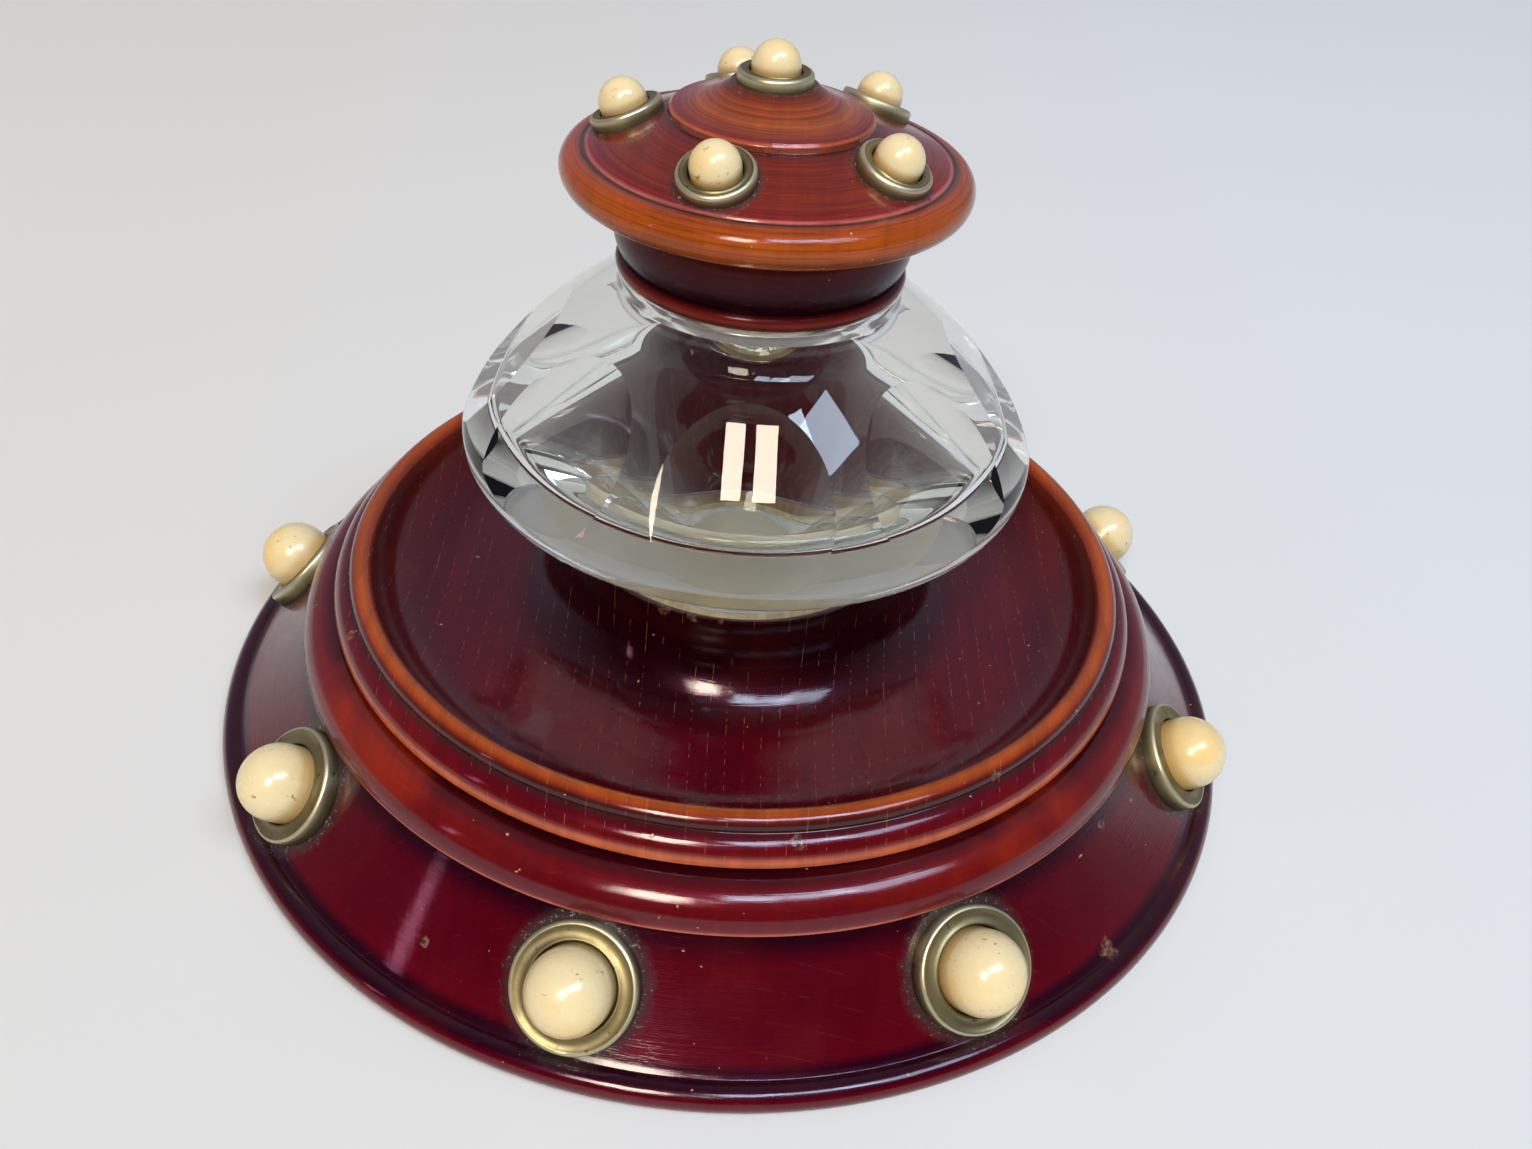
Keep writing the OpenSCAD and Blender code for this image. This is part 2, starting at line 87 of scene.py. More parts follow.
def angle(name, description, degrees):
    """An angle of the object, given in degrees."""
    return FloatProperty(name=name, description=description, default=math.radians(degrees),
                         subtype="ANGLE")


def linear(channel):
    """One 0 to 255 display value as scene-linear light."""
    value = channel / 255
    return value / 12.92 if value <= 0.04045 else ((value + 0.055) / 1.055) ** 2.4


def tint(red, green, blue):
    """A display colour as a scene-linear RGBA value."""
    return (linear(red), linear(green), linear(blue), 1.0)


def colour(name, description, *display):
    """A colour that the user may change, given as display values."""
    return FloatVectorProperty(name=name, description=description, subtype="COLOR", size=4,
                               min=0.0, max=1.0, default=tint(*display))


class InkstandStand(bpy.types.PropertyGroup):
    foot_d: length("Foot", "Diameter across the foot bead", 160)
    foot_bead_r: length("Foot bead", "Radius of the half-round foot bead", 2)
    foot_bead_z: length("Foot bead height", "Height of the foot bead's centre", 1.5)
    skirt_foot_z: length("Skirt foot", "Height at which the skirt meets the foot bead", 3.3)
    skirt_hollow: length("Skirt hollow", "Hollow of the skirt below a straight slope", 0.4)
    roll_r: length("Roll", "Radius of the shoulder roll", 5.2)
    roll_d: length("Roll circle", "Diameter that the roll's centre runs on", 122)
    roll_z: length("Roll height", "Height of the roll's centre", 16.7)
    step: length("Fillet", "Step from the roll in to the skirt", 0.6)
    step_h: length("Fillet height", "Height of that step", 0.7)
    seat_cut: length("Seat", "Depth of the flat on the roll that carries the tray", 0.3)
    bore_d: length("Bore", "Bore through the plinth", 98)
    spigot_d: length("Spigot", "Diameter of the tray's spigot", 113)
    spigot_h: length("Spigot length", "Length of the spigot below the seat", 9)
    floor_drop: length("Floor", "Depth of the tray's floor below the seat", 2.8)
    rim_d: length("Rim", "Diameter of the rim's sharp edge", 122)
    rim_gap: length("Shadow gap", "Height of the gap between the roll and the rim", 0.8)
    rim_edge_h: length("Rim height", "Height of the rim's edge above the seat", 2)
    rim_edge_t: length("Rim edge", "Thickness of the rim's sharp edge", 0.5)
    rim_undercut: length("Rim undercut", "Undercut below the rim's edge", 0.9)
    rim_roll_r: length("Quarter roll", "Radius of the quarter roll on the rim", 3.1)
    bead_d: length("Rim bead circle", "Diameter that the rim bead's centre runs on", 113.8)
    bead_r: length("Rim bead", "Radius of the rim bead", 1.6)
    bead_rise: length("Bead rise", "Rise of the bead's centre above the quarter roll", 0.3)
    dish_cove_r: length("Dish hollow", "Radius of the hollow inside the rim", 10.5)
    boss_d: length("Boss", "Diameter of the boss under the well", 50.8)
    boss_h: length("Boss height", "Height of the boss above the tray's floor", 13)
    boss_cove_r: length("Boss hollow", "Radius of the hollow at the boss's foot", 9.6)
    recess_wall: length("Boss lip", "Wall left round the recess in the boss", 1)
    recess_depth: length("Recess", "Depth of the recess in the boss", 1.4)


class InkstandWell(bpy.types.PropertyGroup):
    well_d: length("Well", "Diameter across the glass well", 81.6)
    girdle_h: length("Girdle height", "Height of the widest point above the foot", 18.7)
    girdle_r: length("Girdle edge", "Radius of the rounded edge at the widest point", 4.8)
    shoulder_r: length("Shoulder", "Radius of the domed shoulder in section", 70)
    foot_d: length("Foot", "Diameter of the ground foot", 43.6)
    foot_h: length("Foot edge", "Height of the upright edge round the foot", 0.8)
    flange_h: length("Flange height", "Height of the flange's base above the foot", 41)
    flange_d: length("Flange", "Diameter of the flange under the lid", 38.6)
    flange_t: length("Flange thickness", "Thickness of the flange", 1.5)
    neck_d: length("Neck", "Outside diameter of the neck", 30.4)
    lip_r: length("Lip", "Radius of the neck's rounded lip", 1)
    mouth_d: length("Mouth", "Diameter of the mouth", 24.4)
    girdle_wall: length("Girdle wall", "Thickness of the glass at the widest point", 6.9)
    hollow_r: length("Hollow edge", "Radius of the hollow's rounded edge", 1.7)
    hollow_lift: length("Hollow lift", "Height of the hollow's edge above the girdle", 1.4)
    bottom_t: length("Bottom", "Thickness of the glass bottom", 5.3)
    floor_d: length("Hollow floor", "Diameter of the hollow's flat floor", 20)
    bowl: length("Bowl", "Bulge of the hollow's lower side beyond a straight slope", 3.7)
    throat_r: length("Throat", "Radius of the round from the hollow's roof into the mouth", 8.6)
    roof: angle("Roof slope", "Slope of the hollow's roof", 30.7)
    panels: IntProperty(name="Panels", description="Flat panels cut round the well",
                        default=8, min=3, max=16)
    panel_turn: angle("Panel turn", "Turn of the first panel", 2)
    panel_lean: angle("Panel lean", "How much steeper the panels stand than the shoulder", 6.2)
    panel_depth: length("Panel depth", "Depth of the panels below the girdle's edge", 1.05)


class InkstandLid(bpy.types.PropertyGroup):
    brim_d: length("Brim", "Diameter across the brim", 53.2)
    brim_r: length("Brim edge", "Radius of the brim's rounded edge", 2.5)
    collar_h: length("Collar height", "Height of the collar round the neck", 10.4)
    collar_d: length("Collar", "Greatest diameter of the collar", 39.7)
    collar_swell: length("Collar swell", "Swell of the collar's side", 1.2)
    band_d: length("Collar band", "Diameter of the collar's lower band", 38.9)
    band_h: length("Collar band height", "Height of the collar's lower band", 2.3)
    bore_d: length("Collar bore", "Bore of the collar", 31.4)
    seat_d: length("Cap seat", "Diameter of the flat under the cap", 39)
    tenon_h: length("Tenon", "Length of the cap's tenon in the collar", 1.6)
    brim_rise: length("Brim rise", "Rise from the collar's top to the brim's edge", 3.1)
    groove_d: length("Groove", "Diameter of the groove inside the brim", 46.8)
    groove_r: length("Groove bottom", "Radius of the groove's round bottom", 0.45)
    slope_foot_h: length("Slope foot", "Rise of the slope's foot above the brim's edge", 2.6)
    slope_rise: length("Slope rise", "Rise of the slope to the centre disc", 4.2)
    disc_d: length("Disc", "Diameter of the centre disc", 26)
    disc_edge_h: length("Disc edge", "Height of the centre disc's edge", 1)
    disc_chamfer: length("Disc chamfer", "Chamfer on the centre disc's edge", 0.4)
    quirk_r: length("Quirk", "Radius of the fine groove round the centre disc", 0.3)
    disc_rise: length("Disc rise", "Rise of the disc to the crown stud", 3.2)
    disc_hollow: length("Disc hollow", "Hollow of the disc below a straight slope", 0.5)
    crown_margin: length("Crown margin", "Flat left round the crown stud's ring", 0.6)


class InkstandStud(bpy.types.PropertyGroup):
    ring_d: length("Ring", "Outside diameter of the ring", 16.2)
    ring_h: length("Ring height", "Height of the ring", 2.8)
    sink: length("Ring sink", "Depth that the ring is let into the wood", 1)
    bone_d: length("Bone", "Diameter of the bone dome", 10.8)
    rise: length("Bone rise", "Bone between the ring and the round of the dome", 1.4)
    peg_d: length("Peg", "Diameter of the bone's peg", 5.4)
    peg_l: length("Peg length", "Length of the bone's peg", 6)
    ring_round: length("Ring rounding", "Rounding of the ring's outer edge", 0.5)
    ring_dish: length("Ring dish", "Hollow of the ring's upper face", 0.2)
    ring_gap: length("Ring gap", "Gap between the bone and its ring", 0.2)


class InkstandColours(bpy.types.PropertyGroup):
    mahogany: colour("Mahogany", "Dark red polish on the stand", 82, 2, 14)
    plum: colour("Plum", "The darkest, purplish polish", 32, 1, 14)
    rubbed: colour("Rubbed", "Orange-red where the polish is rubbed thin", 146, 40, 10)
    amber: colour("Amber", "Golden wood on the rim bead and the brim", 158, 76, 16)
    lid_red: colour("Lid", "Reddish brown of the lid's slope", 116, 38, 18)
    # Bare wood, painted paler than the wood is, for the light that the glass gathers onto the recess
    bare: colour("Bare wood", "Unpolished turned wood in the boss's recess", 248, 224, 176)
    grime: colour("Grime", "Dirt in grooves and round the studs", 52, 44, 42)
    bone: colour("Bone", "Polished bone", 218, 201, 158)
    nickel: colour("Nickel silver", "Tarnished nickel silver", 140, 131, 98)
    glass: colour("Glass", "Tint of the clear glass", 250, 253, 251)
    cork: colour("Cork", "Cork disc inside the lid", 176, 132, 88)
    # The two floor colours differ by painted light: cooler on the right, where cool light falls
    backdrop: colour("Floor", "Pale floor and backdrop, on the left", 208, 205, 200)
    backdrop_cool: colour("Floor, cool", "Pale floor and backdrop, on the right", 208, 212, 216)


class InkstandCamera(bpy.types.PropertyGroup):
    lens: FloatProperty(name="Lens", description="Focal length for a 36 mm wide frame",
                        default=30.18, min=1, unit="CAMERA")
    distance: length("Distance", "Distance from the aim point", 204.7)
    elevation: angle("Elevation", "Height above the horizon", 37.92)
    roll: angle("Roll", "Turn about the view axis", 5.49)
    aim: FloatVectorProperty(name="Aim", description="Point that the camera looks at",
                             default=(0.00465, 0.0, 0.02109), subtype="TRANSLATION", unit="LENGTH")


# ---- Drawing and turning sections -------------------------------------------

def heading(centre, point):
    """Direction of a point from a centre, in degrees."""
    return math.degrees(math.atan2(point[1] - centre[1], point[0] - centre[0]))


class Section:
    """Half a turned piece's section, drawn point to point in the XZ plane, in millimetres."""

    def __init__(self, x, z):
        self.mesh = bmesh.new()
        self.start = self.end = self.mesh.verts.new((x * MM, 0, z * MM))

    def here(self):
        return self.end.co.x / MM, self.end.co.z / MM

    def to(self, x, z):
        """A straight line to a point."""
        corner = self.mesh.verts.new((x * MM, 0, z * MM))
        self.mesh.edges.new((self.end, corner))
        self.end = corner

    def path(self, *points):
        """Straight lines from point to point."""
        for point in points:
            self.to(*point)

    def run(self, x, z, parts):
        """A straight line in several parts, for a long plain face."""
        x0, z0 = self.here()
        for i in range(1, parts + 1):
            self.to(x0 + (x - x0) * i / parts, z0 + (z - z0) * i / parts)

    def round(self, centre, degrees, steps=12):
        """An arc about a centre, anticlockwise for a positive angle."""
        made = bmesh.ops.spin(
            self.mesh, geom=[self.end], cent=(centre[0] * MM, 0, centre[1] * MM),
            axis=(0, -1, 0), angle=math.radians(degrees), steps=steps)
        self.end = made["geom_last"][0]

    def round_to(self, centre, bearing, steps=12):
        """An arc about a centre, the short way to the given bearing in degrees."""
        start = heading(centre, self.here())
        self.round(centre, (bearing - start + 180) % 360 - 180, steps)

    def bow(self, x, z, sagitta, steps=12):
        """An arc to a point, bulging to the right of the way there by the sagitta."""
        a, b = Vector(self.here()), Vector((x, z))
        half, way = (b - a).length / 2, (b - a).normalized()
        radius = (half ** 2 + sagitta ** 2) / (2 * abs(sagitta))
        side = Vector((way.y, -way.x)) * math.copysign(1, sagitta)
        centre = (a + b) / 2 + side * (abs(sagitta) - radius)
        self.round(centre, math.copysign(2 * math.degrees(math.asin(half / radius)), sagitta),
                   steps)

    def close(self):
        self.mesh.edges.new((self.end, self.start))

    def turn(self, steps):
        """Turns the section about the Z axis into a closed piece, and returns its mesh."""
        bmesh.ops.spin(self.mesh, geom=self.mesh.verts[:] + self.mesh.edges[:],
                       cent=(0, 0, 0), axis=(0, 0, 1), angle=math.tau, steps=steps,
                       use_merge=True)
        bmesh.ops.remove_doubles(self.mesh, verts=self.mesh.verts[:], dist=0.002 * MM)
        bmesh.ops.recalc_face_normals(self.mesh, faces=self.mesh.faces[:])
        return self.mesh


def soften(mesh, width, limit=40):
    """Bevels the edges that are sharper than the limit, as polishing does."""
    edges = [e for e in mesh.edges if e.calc_face_angle(0) > math.radians(limit)]
    bmesh.ops.bevel(mesh, geom=edges, offset=width * MM, offset_type="OFFSET", segments=2,
                    profile=0.5, affect="EDGES", material=-1, clamp_overlap=True)


def piece(mesh, name, body, nodes, finish, sharp=32):
    """Makes a finished object of a mesh, in place of its CAD nodes."""
    cut = mesh.faces.layers.int.get("cut") or mesh.faces.layers.int.new("cut")
    for face in mesh.faces:
        face.smooth = True
    for edge in mesh.edges:
        level = len({face[cut] for face in edge.link_faces}) == 1
        edge.smooth = level and edge.calc_face_angle(0) < math.radians(sharp)
    data = bpy.data.meshes.new(name)
    mesh.to_mesh(data)
    mesh.free()
    made = bpy.data.objects.new(name, data)
    bpy.context.scene.collection.objects.link(made)
    data.materials.append(finish)
    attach(made, body)
    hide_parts(*nodes)


def millimetres(group):
    """The lengths of a property group as plain millimetres, by name."""
    sizes = SimpleNamespace()
    for name in group.__annotations__:
        value = getattr(group, name)
        is_length = group.bl_rna.properties[name].unit == "LENGTH"
        setattr(sizes, name, value / MM if is_length else value)
    return sizes


def side(long, short):
    """Third side of a right-angled triangle."""
    return math.sqrt(long ** 2 - short ** 2)


def touch_point(start, centre, radius):
    """Where the line from a point touches a circle, on its outer side."""
    x, z = centre[0] - start[0], centre[1] - start[1]
    reach = side(math.hypot(x, z), radius)
    bearing = math.atan2(z, x) - math.asin(radius / math.hypot(x, z))
    return start[0] + reach * math.cos(bearing), start[1] + reach * math.sin(bearing)


def holding_centre(point, radius, centre, held):
    """Centre of a circle through a point that holds a smaller circle inside, touching it."""
    v = Vector(centre) - Vector(point)
    along = (radius ** 2 - (radius - held) ** 2 + v.length_squared) / (2 * v.length)
    u = v.normalized()
    return Vector(point) + u * along + Vector((u.y, -u.x)) * side(radius, along)


# ---- Heights that the pieces share ------------------------------------------

class Heights:
    """Levels and joints of the stacked pieces, in millimetres."""

    def __init__(self):
        scene = bpy.context.scene
        s, w, l = (millimetres(g) for g in
                   (scene.inkstand_stand, scene.inkstand_well, scene.inkstand_lid))
        self.stand, self.well, self.lid = s, w, l
        self.seat = s.roll_z + s.roll_r - s.seat_cut
        self.floor = self.seat - s.floor_drop
        self.boss = self.floor + s.boss_h
        self.recess = self.boss - s.recess_depth
        self.rim_edge = self.seat + s.rim_edge_h
        self.skirt_foot = (s.foot_d / 2 - s.foot_bead_r
                           - side(s.foot_bead_r, s.skirt_foot_z - s.foot_bead_z),
                           s.skirt_foot_z)
        self.skirt_top = (s.roll_d / 2 + s.roll_r - s.step, s.roll_z - s.step_h)
        self.well_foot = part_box("ink_well")[0].z / MM
        self.neck_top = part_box("ink_well")[1].z / MM
        self.girdle = (w.well_d / 2 - w.girdle_r, self.well_foot + w.girdle_h)
        self.flange = self.well_foot + w.flange_h
        self.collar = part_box("lid_collar")[0].z / MM
        self.collar_top = self.collar + l.collar_h
        self.brim = (l.brim_d / 2 - l.brim_r, self.collar_top + l.brim_rise)
        self.slope_foot = (l.groove_d / 2, self.brim[1] + l.slope_foot_h)
        self.slope_top = (l.disc_d / 2, self.slope_foot[1] + l.slope_rise)
        self.disc = self.slope_top[1] + l.disc_edge_h
        self.crown = self.disc + l.disc_rise
        self.crown_flat = millimetres(scene.inkstand_lid_stud).ring_d / 2 + l.crown_margin


def stud_place(row, number):
    """Matrix that puts a stud, drawn upright at the origin, in its seat: z = 0 is the wood."""
    h = Heights()
    if row == "crown":
        return Matrix.Translation((0, 0, h.crown * MM))
    low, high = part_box(f"{row}_ring_{number}")
    bearing = math.atan2((low.y + high.y) / 2, (low.x + high.x) / 2)
    top, foot = ((h.skirt_top, h.skirt_foot) if row == "stand"
                 else (h.slope_top, h.slope_foot))
    tilt = math.atan2(top[1] - foot[1], foot[0] - top[0])
    middle = ((top[0] + foot[0]) / 2 * MM, 0, (top[1] + foot[1]) / 2 * MM)
    return (Matrix.Rotation(bearing, 4, "Z") @ Matrix.Translation(middle)
            @ Matrix.Rotation(tilt, 4, "Y"))


STUDS = ([("stand", i) for i in range(1, 9)] + [("lid", i) for i in range(1, 6)]
         + [("crown", 0)])


# ---- Finishes ---------------------------------------------------------------

def colours():
    return bpy.context.scene.inkstand_colours


class Nodes:
    """A node tree, with short ways to add to it."""

    def __init__(self, tree):
        self.tree = tree

    def node(self, kind, inputs=None, **settings):
        made = self.tree.nodes.new(kind)
        for key, value in settings.items():
            setattr(made, key, value)
        for key, value in (inputs or {}).items():
            self.feed(made.inputs[key], value)
        return made

    def feed(self, socket, value):
        if isinstance(value, bpy.types.NodeSocket):
            self.tree.links.new(value, socket)
        else:
            socket.default_value = value

    def maths(self, operation, a, b=0.0, clamp=False):
        return self.node("ShaderNodeMath", {0: a, 1: b}, operation=operation,
                         use_clamp=clamp).outputs[0]

    def times(self, a, b):
        return self.maths("MULTIPLY", a, b)

    def plus(self, a, b):
        return self.maths("ADD", a, b)

    def level(self, value, low, high, to_low=0.0, to_high=1.0):
        """Maps a value between two levels, held inside them and eased."""
        return self.node("ShaderNodeMapRange", {
            "Value": value, "From Min": low, "From Max": high, "To Min": to_low,
            "To Max": to_high}, interpolation_type="SMOOTHSTEP").outputs[0]

    def blend(self, share, a, b):
        """A colour between two others, by a share."""
        return self.node("ShaderNodeMix", {0: share, 6: a, 7: b}, data_type="RGBA",
                         clamp_result=True).outputs[2]


class Finish(Nodes):
    """A finish being mixed: its material, its shader and its coordinates in metres."""

    def __init__(self, name, **constants):
        self.material = bpy.data.materials.new(name)
        self.material.use_nodes = True
        super().__init__(self.material.node_tree)
        self.shader = self.tree.nodes["Principled BSDF"]
        for socket, value in constants.items():
            self.shader.inputs[socket.replace("_", " ")].default_value = value
        self.place = self.node("ShaderNodeTexCoord").outputs["Object"]
        parts = self.node("ShaderNodeSeparateXYZ", {0: self.place}).outputs
        self.x, self.y, self.height = parts
        self.radius = self.maths("SQRT", self.plus(self.times(self.x, self.x),
                                                   self.times(self.y, self.y)))

    def set(self, socket, value):
        self.feed(self.shader.inputs[socket], value)

    def vector(self, x, y, z):
        return self.node("ShaderNodeCombineXYZ", {0: x, 1: y, 2: z}).outputs[0]

    def attribute(self, name):
        return self.node("ShaderNodeAttribute", attribute_name=name).outputs["Fac"]

    def stretched(self, x, y, z, turn=0.0):
        """Object coordinates scaled by axis, after a turn about Z."""
        return self.node("ShaderNodeMapping", {
            "Vector": self.place, "Scale": (x, y, z), "Rotation": (0, 0, turn)}).outputs[0]

    def noise(self, scale, detail=3.0, rough=0.5, at=None, twist=0.0):
        return self.node("ShaderNodeTexNoise", {
            "Vector": at or self.place, "Scale": scale, "Detail": detail,
            "Roughness": rough, "Distortion": twist}).outputs["Fac"]

    def zones(self, value, stops):
        """Colour by a length in millimetres, from a list of (millimetres, colour)."""
        low, high = stops[0][0], stops[-1][0]
        share = self.node("ShaderNodeMapRange", {
            "Value": value, "From Min": low * MM, "From Max": high * MM}).outputs[0]
        ramp = self.node("ShaderNodeValToRGB", {0: share})
        points = ramp.color_ramp.elements
        points.remove(points[1])
        points[0].color = stops[0][1]
        for length_mm, shade in stops[1:]:
            points.new((length_mm - low) / (high - low)).color = shade
        return ramp.outputs["Color"]

    def bump(self, height, millimetres_high):
        return self.node("ShaderNodeBump", {
            "Height": height, "Distance": millimetres_high * MM,
            "Strength": 1.0}).outputs["Normal"]

    def vectors(self, operation, a, b):
        return self.node("ShaderNodeVectorMath", {0: a, 1: b}, operation=operation).outputs

    def near(self, points, inner, outer, warp):
        """1 inside the inner distance of any of the points, 0 beyond the outer, in mm."""
        stray = self.node("ShaderNodeTexNoise", {"Vector": self.place, "Scale": 900.0,
                                                 "Detail": 3.0}).outputs["Color"]
        shift = self.node("ShaderNodeVectorMath", {
            0: self.vectors("SUBTRACT", stray, (0.5, 0.5, 0.5))[0],
            "Scale": warp * MM}, operation="SCALE").outputs[0]
        at = self.vectors("ADD", self.place, shift)[0]
        found = None
        for point in points:
            gap = self.vectors("DISTANCE", at, tuple(point))["Value"]
            found = gap if found is None else self.maths("MINIMUM", found, gap)
        return self.level(found, outer * MM, inner * MM)

    def turned_lines(self):
        """Fine concentric lines left by the lathe, about half on average."""
        along = self.vector(self.radius, self.times(self.noise(30.0), 0.002), self.height)
        coarse = self.noise(2600.0, 4.0, 0.6, at=along)
        fine = self.noise(9000.0, 2.0, 0.6, at=along)
        return self.plus(self.times(coarse, 0.65), self.times(fine, 0.35))


def mix(a, b, share):
    """A colour between two others."""
    return tuple(x + (y - x) * share for x, y in zip(a, b))


def polished_wood(name, zones_by, stops, fleck, lines, patch, streak, grain_turn=0.0, coat=0.7,
                  flank=None, halo=None, chips=()):
    """French-polished turned wood: zones, grain, lathe lines, rubbed patches, dirt, chips."""
    c = colours()
    f = Finish(name, Coat_Weight=coat, Coat_Roughness=0.05, Coat_IOR=1.5,
               Specular_IOR_Level=0.14, Specular_Tint=(1.0, 0.32, 0.6, 1.0))
    base = f.zones(getattr(f, zones_by), stops)
    # Cloudy patches where the polish is thinner or thicker
    cloud = f.noise(38.0, 3.0, 0.55, twist=0.4)
    base = f.blend(f.times(f.level(cloud, 0.5, 0.72), 0.55 * patch), base, c.rubbed)
    if flank:
        # Orange-red patches on the left and right flanks, as the stand is seen from the front, between
        # two heights
        low, high, share = flank
        share_x = f.maths("DIVIDE", f.maths("ABSOLUTE", f.x), f.radius)
        sideways = f.times(f.level(share_x, 0.25, 0.7), f.level(share_x, 0.99, 0.82))
        flank_orange = f.times(f.level(f.height, low * MM, (low + 0.8) * MM),
                       f.level(f.height, high * MM, (high - 1.5) * MM))
        flank_orange = f.times(f.times(flank_orange, sideways), f.level(cloud, 0.40, 0.62, 0.06 * share, share))
        base = f.blend(flank_orange, base, c.rubbed)
    deep = f.level(f.noise(24.0, 2.0, 0.5, at=f.stretched(1, 1, 2)), 0.42, 0.62)
    base = f.blend(f.times(deep, 0.5 * patch), base, c.plum)
    # Straight grain of the plank: dark streaks and pale flecks
    plank = f.stretched(430.0, 16.0, 60.0, turn=grain_turn)
    streaks = f.noise(1.0, 4.0, 0.6, at=plank, twist=0.3)
    base = f.blend(f.times(f.level(streaks, 0.62, 0.40), streak), base, c.plum)
    along_plank = f.stretched(1, 1, 1, turn=grain_turn)
    across = f.plus(f.node("ShaderNodeSeparateXYZ", {0: along_plank}).outputs[0],
                    f.times(f.noise(9.0, 1.0), 0.006))
    wave = f.maths("ABSOLUTE", f.maths("SINE", f.times(across, 1250.0)))
    dashes = f.level(f.noise(1.0, 3.0, 0.7, at=f.stretched(260.0, 900.0, 200.0, grain_turn)),
                     0.50, 0.60)
    fleck_line = f.times(f.level(wave, 0.07, 0.0), dashes)
    base = f.blend(f.times(fleck_line, fleck), base, mix(c.rubbed, c.bare, 0.25))
    # Lathe lines
    turned = f.turned_lines()
    base = f.blend(f.times(f.level(turned, 0.40, 0.64), 0.42 * lines), base, c.plum)
    base = f.blend(f.times(f.level(turned, 0.56, 0.72), 0.25 * lines), base, c.rubbed)
    # Pale specks of dust and tiny knocks
    specks = f.level(f.noise(1100.0, 1.0, 0.4), 0.80, 0.82)
    base = f.blend(f.times(specks, 0.6), base, mix(c.rubbed, c.bone, 0.6))
    rough = f.level(f.noise(130.0, 4.0, 0.6), 0.3, 0.8, 0.20, 0.36)
    height = f.plus(f.times(turned, 0.6), f.times(streaks, 0.3))
    if halo:
        # Dirt and lint round the studs
        points, inner, outer = halo
        dirt = f.times(f.near(points, inner, outer, warp=1.6), 0.85)
        base = f.blend(dirt, base, c.grime)
        lint = f.times(dirt, f.level(f.noise(2300.0, 3.0, 0.7), 0.60, 0.68))
        base = f.blend(lint, base, tint(150, 146, 142))
        rough = f.plus(rough, f.times(dirt, 0.4))
    for point, size in chips:
        chip = f.near([[v * MM for v in point]], size * 0.4, size * 0.8, warp=size * 1.3)
        scar = f.level(f.noise(1500.0, 3.0, 0.6), 0.35, 0.7)
        base = f.blend(f.times(chip, 0.9), base,
                       f.blend(scar, tint(58, 30, 24), tint(142, 100, 78)))
        height = f.maths("SUBTRACT", height, f.times(chip, 0.5))
        rough = f.plus(rough, f.times(chip, 0.4))
    f.set("Base Color", base)
    f.set("Roughness", rough)
    f.set("Normal", f.bump(height, 0.06))
    f.set("Coat Normal", f.bump(height, 0.03))
    return f.material


def stud_points(*rows):
    """Middle of each stud's ring in the rows, in metres."""
    return [stud_place(row, number).to_translation() for row, number in STUDS if row in rows]


def plinth_wood():
    c = colours()
    dark = mix(c.mahogany, c.plum, 0.2)
    stops = [
        (0.0, tint(96, 66, 50)), (0.45, tint(92, 40, 30)), (1.1, c.mahogany),
        (2.6, c.mahogany), (3.2, c.plum), (3.9, c.plum), (4.8, c.mahogany), (8.0, dark),
        # Painted shade: the skirt goes near black just under the roll's step, from 15.2 to 16.5 mm
        (13.0, dark), (15.2, c.plum), (16.3, tint(30, 2, 8)), (16.5, tint(40, 4, 8)),
        # Painted highlight: the pale pink band at 16.66 to 17 mm on the step's arris
        (16.66, tint(216, 140, 116)), (17.0, tint(196, 104, 84)), (17.3, tint(110, 16, 22)),
        (17.9, tint(88, 5, 20)),
        (18.6, mix(c.mahogany, c.rubbed, 0.05)), (20.0, mix(c.mahogany, c.rubbed, 0.10)),
        # Painted shade: the roll goes near black towards the seat under the tray's rim, from 21.8 mm up
        (21.3, mix(c.mahogany, c.rubbed, 0.15)), (21.8, tint(60, 3, 10)), (22.0, tint(14, 2, 5))]
    chips = [((55.5, -52.8, 3.9), 2.0), ((54.3, -39.7, 13.9), 1.2),
             ((-33.8, -64.5, 7.6), 0.9), ((-69.0, -38.6, 1.0), 1.5), ((-71.2, -34.5, 0.6), 1.1),
             ((16.5, -78.4, 1.0), 0.9)]
    return polished_wood("plinth_mahogany", "height", stops, grain_turn=math.radians(90),
                         fleck=0.05, lines=0.4, patch=0.15, streak=0.12,
                         flank=(19.0, 22.8, 0.62), halo=(stud_points("stand"), 8.0, 10.4),
                         chips=chips)


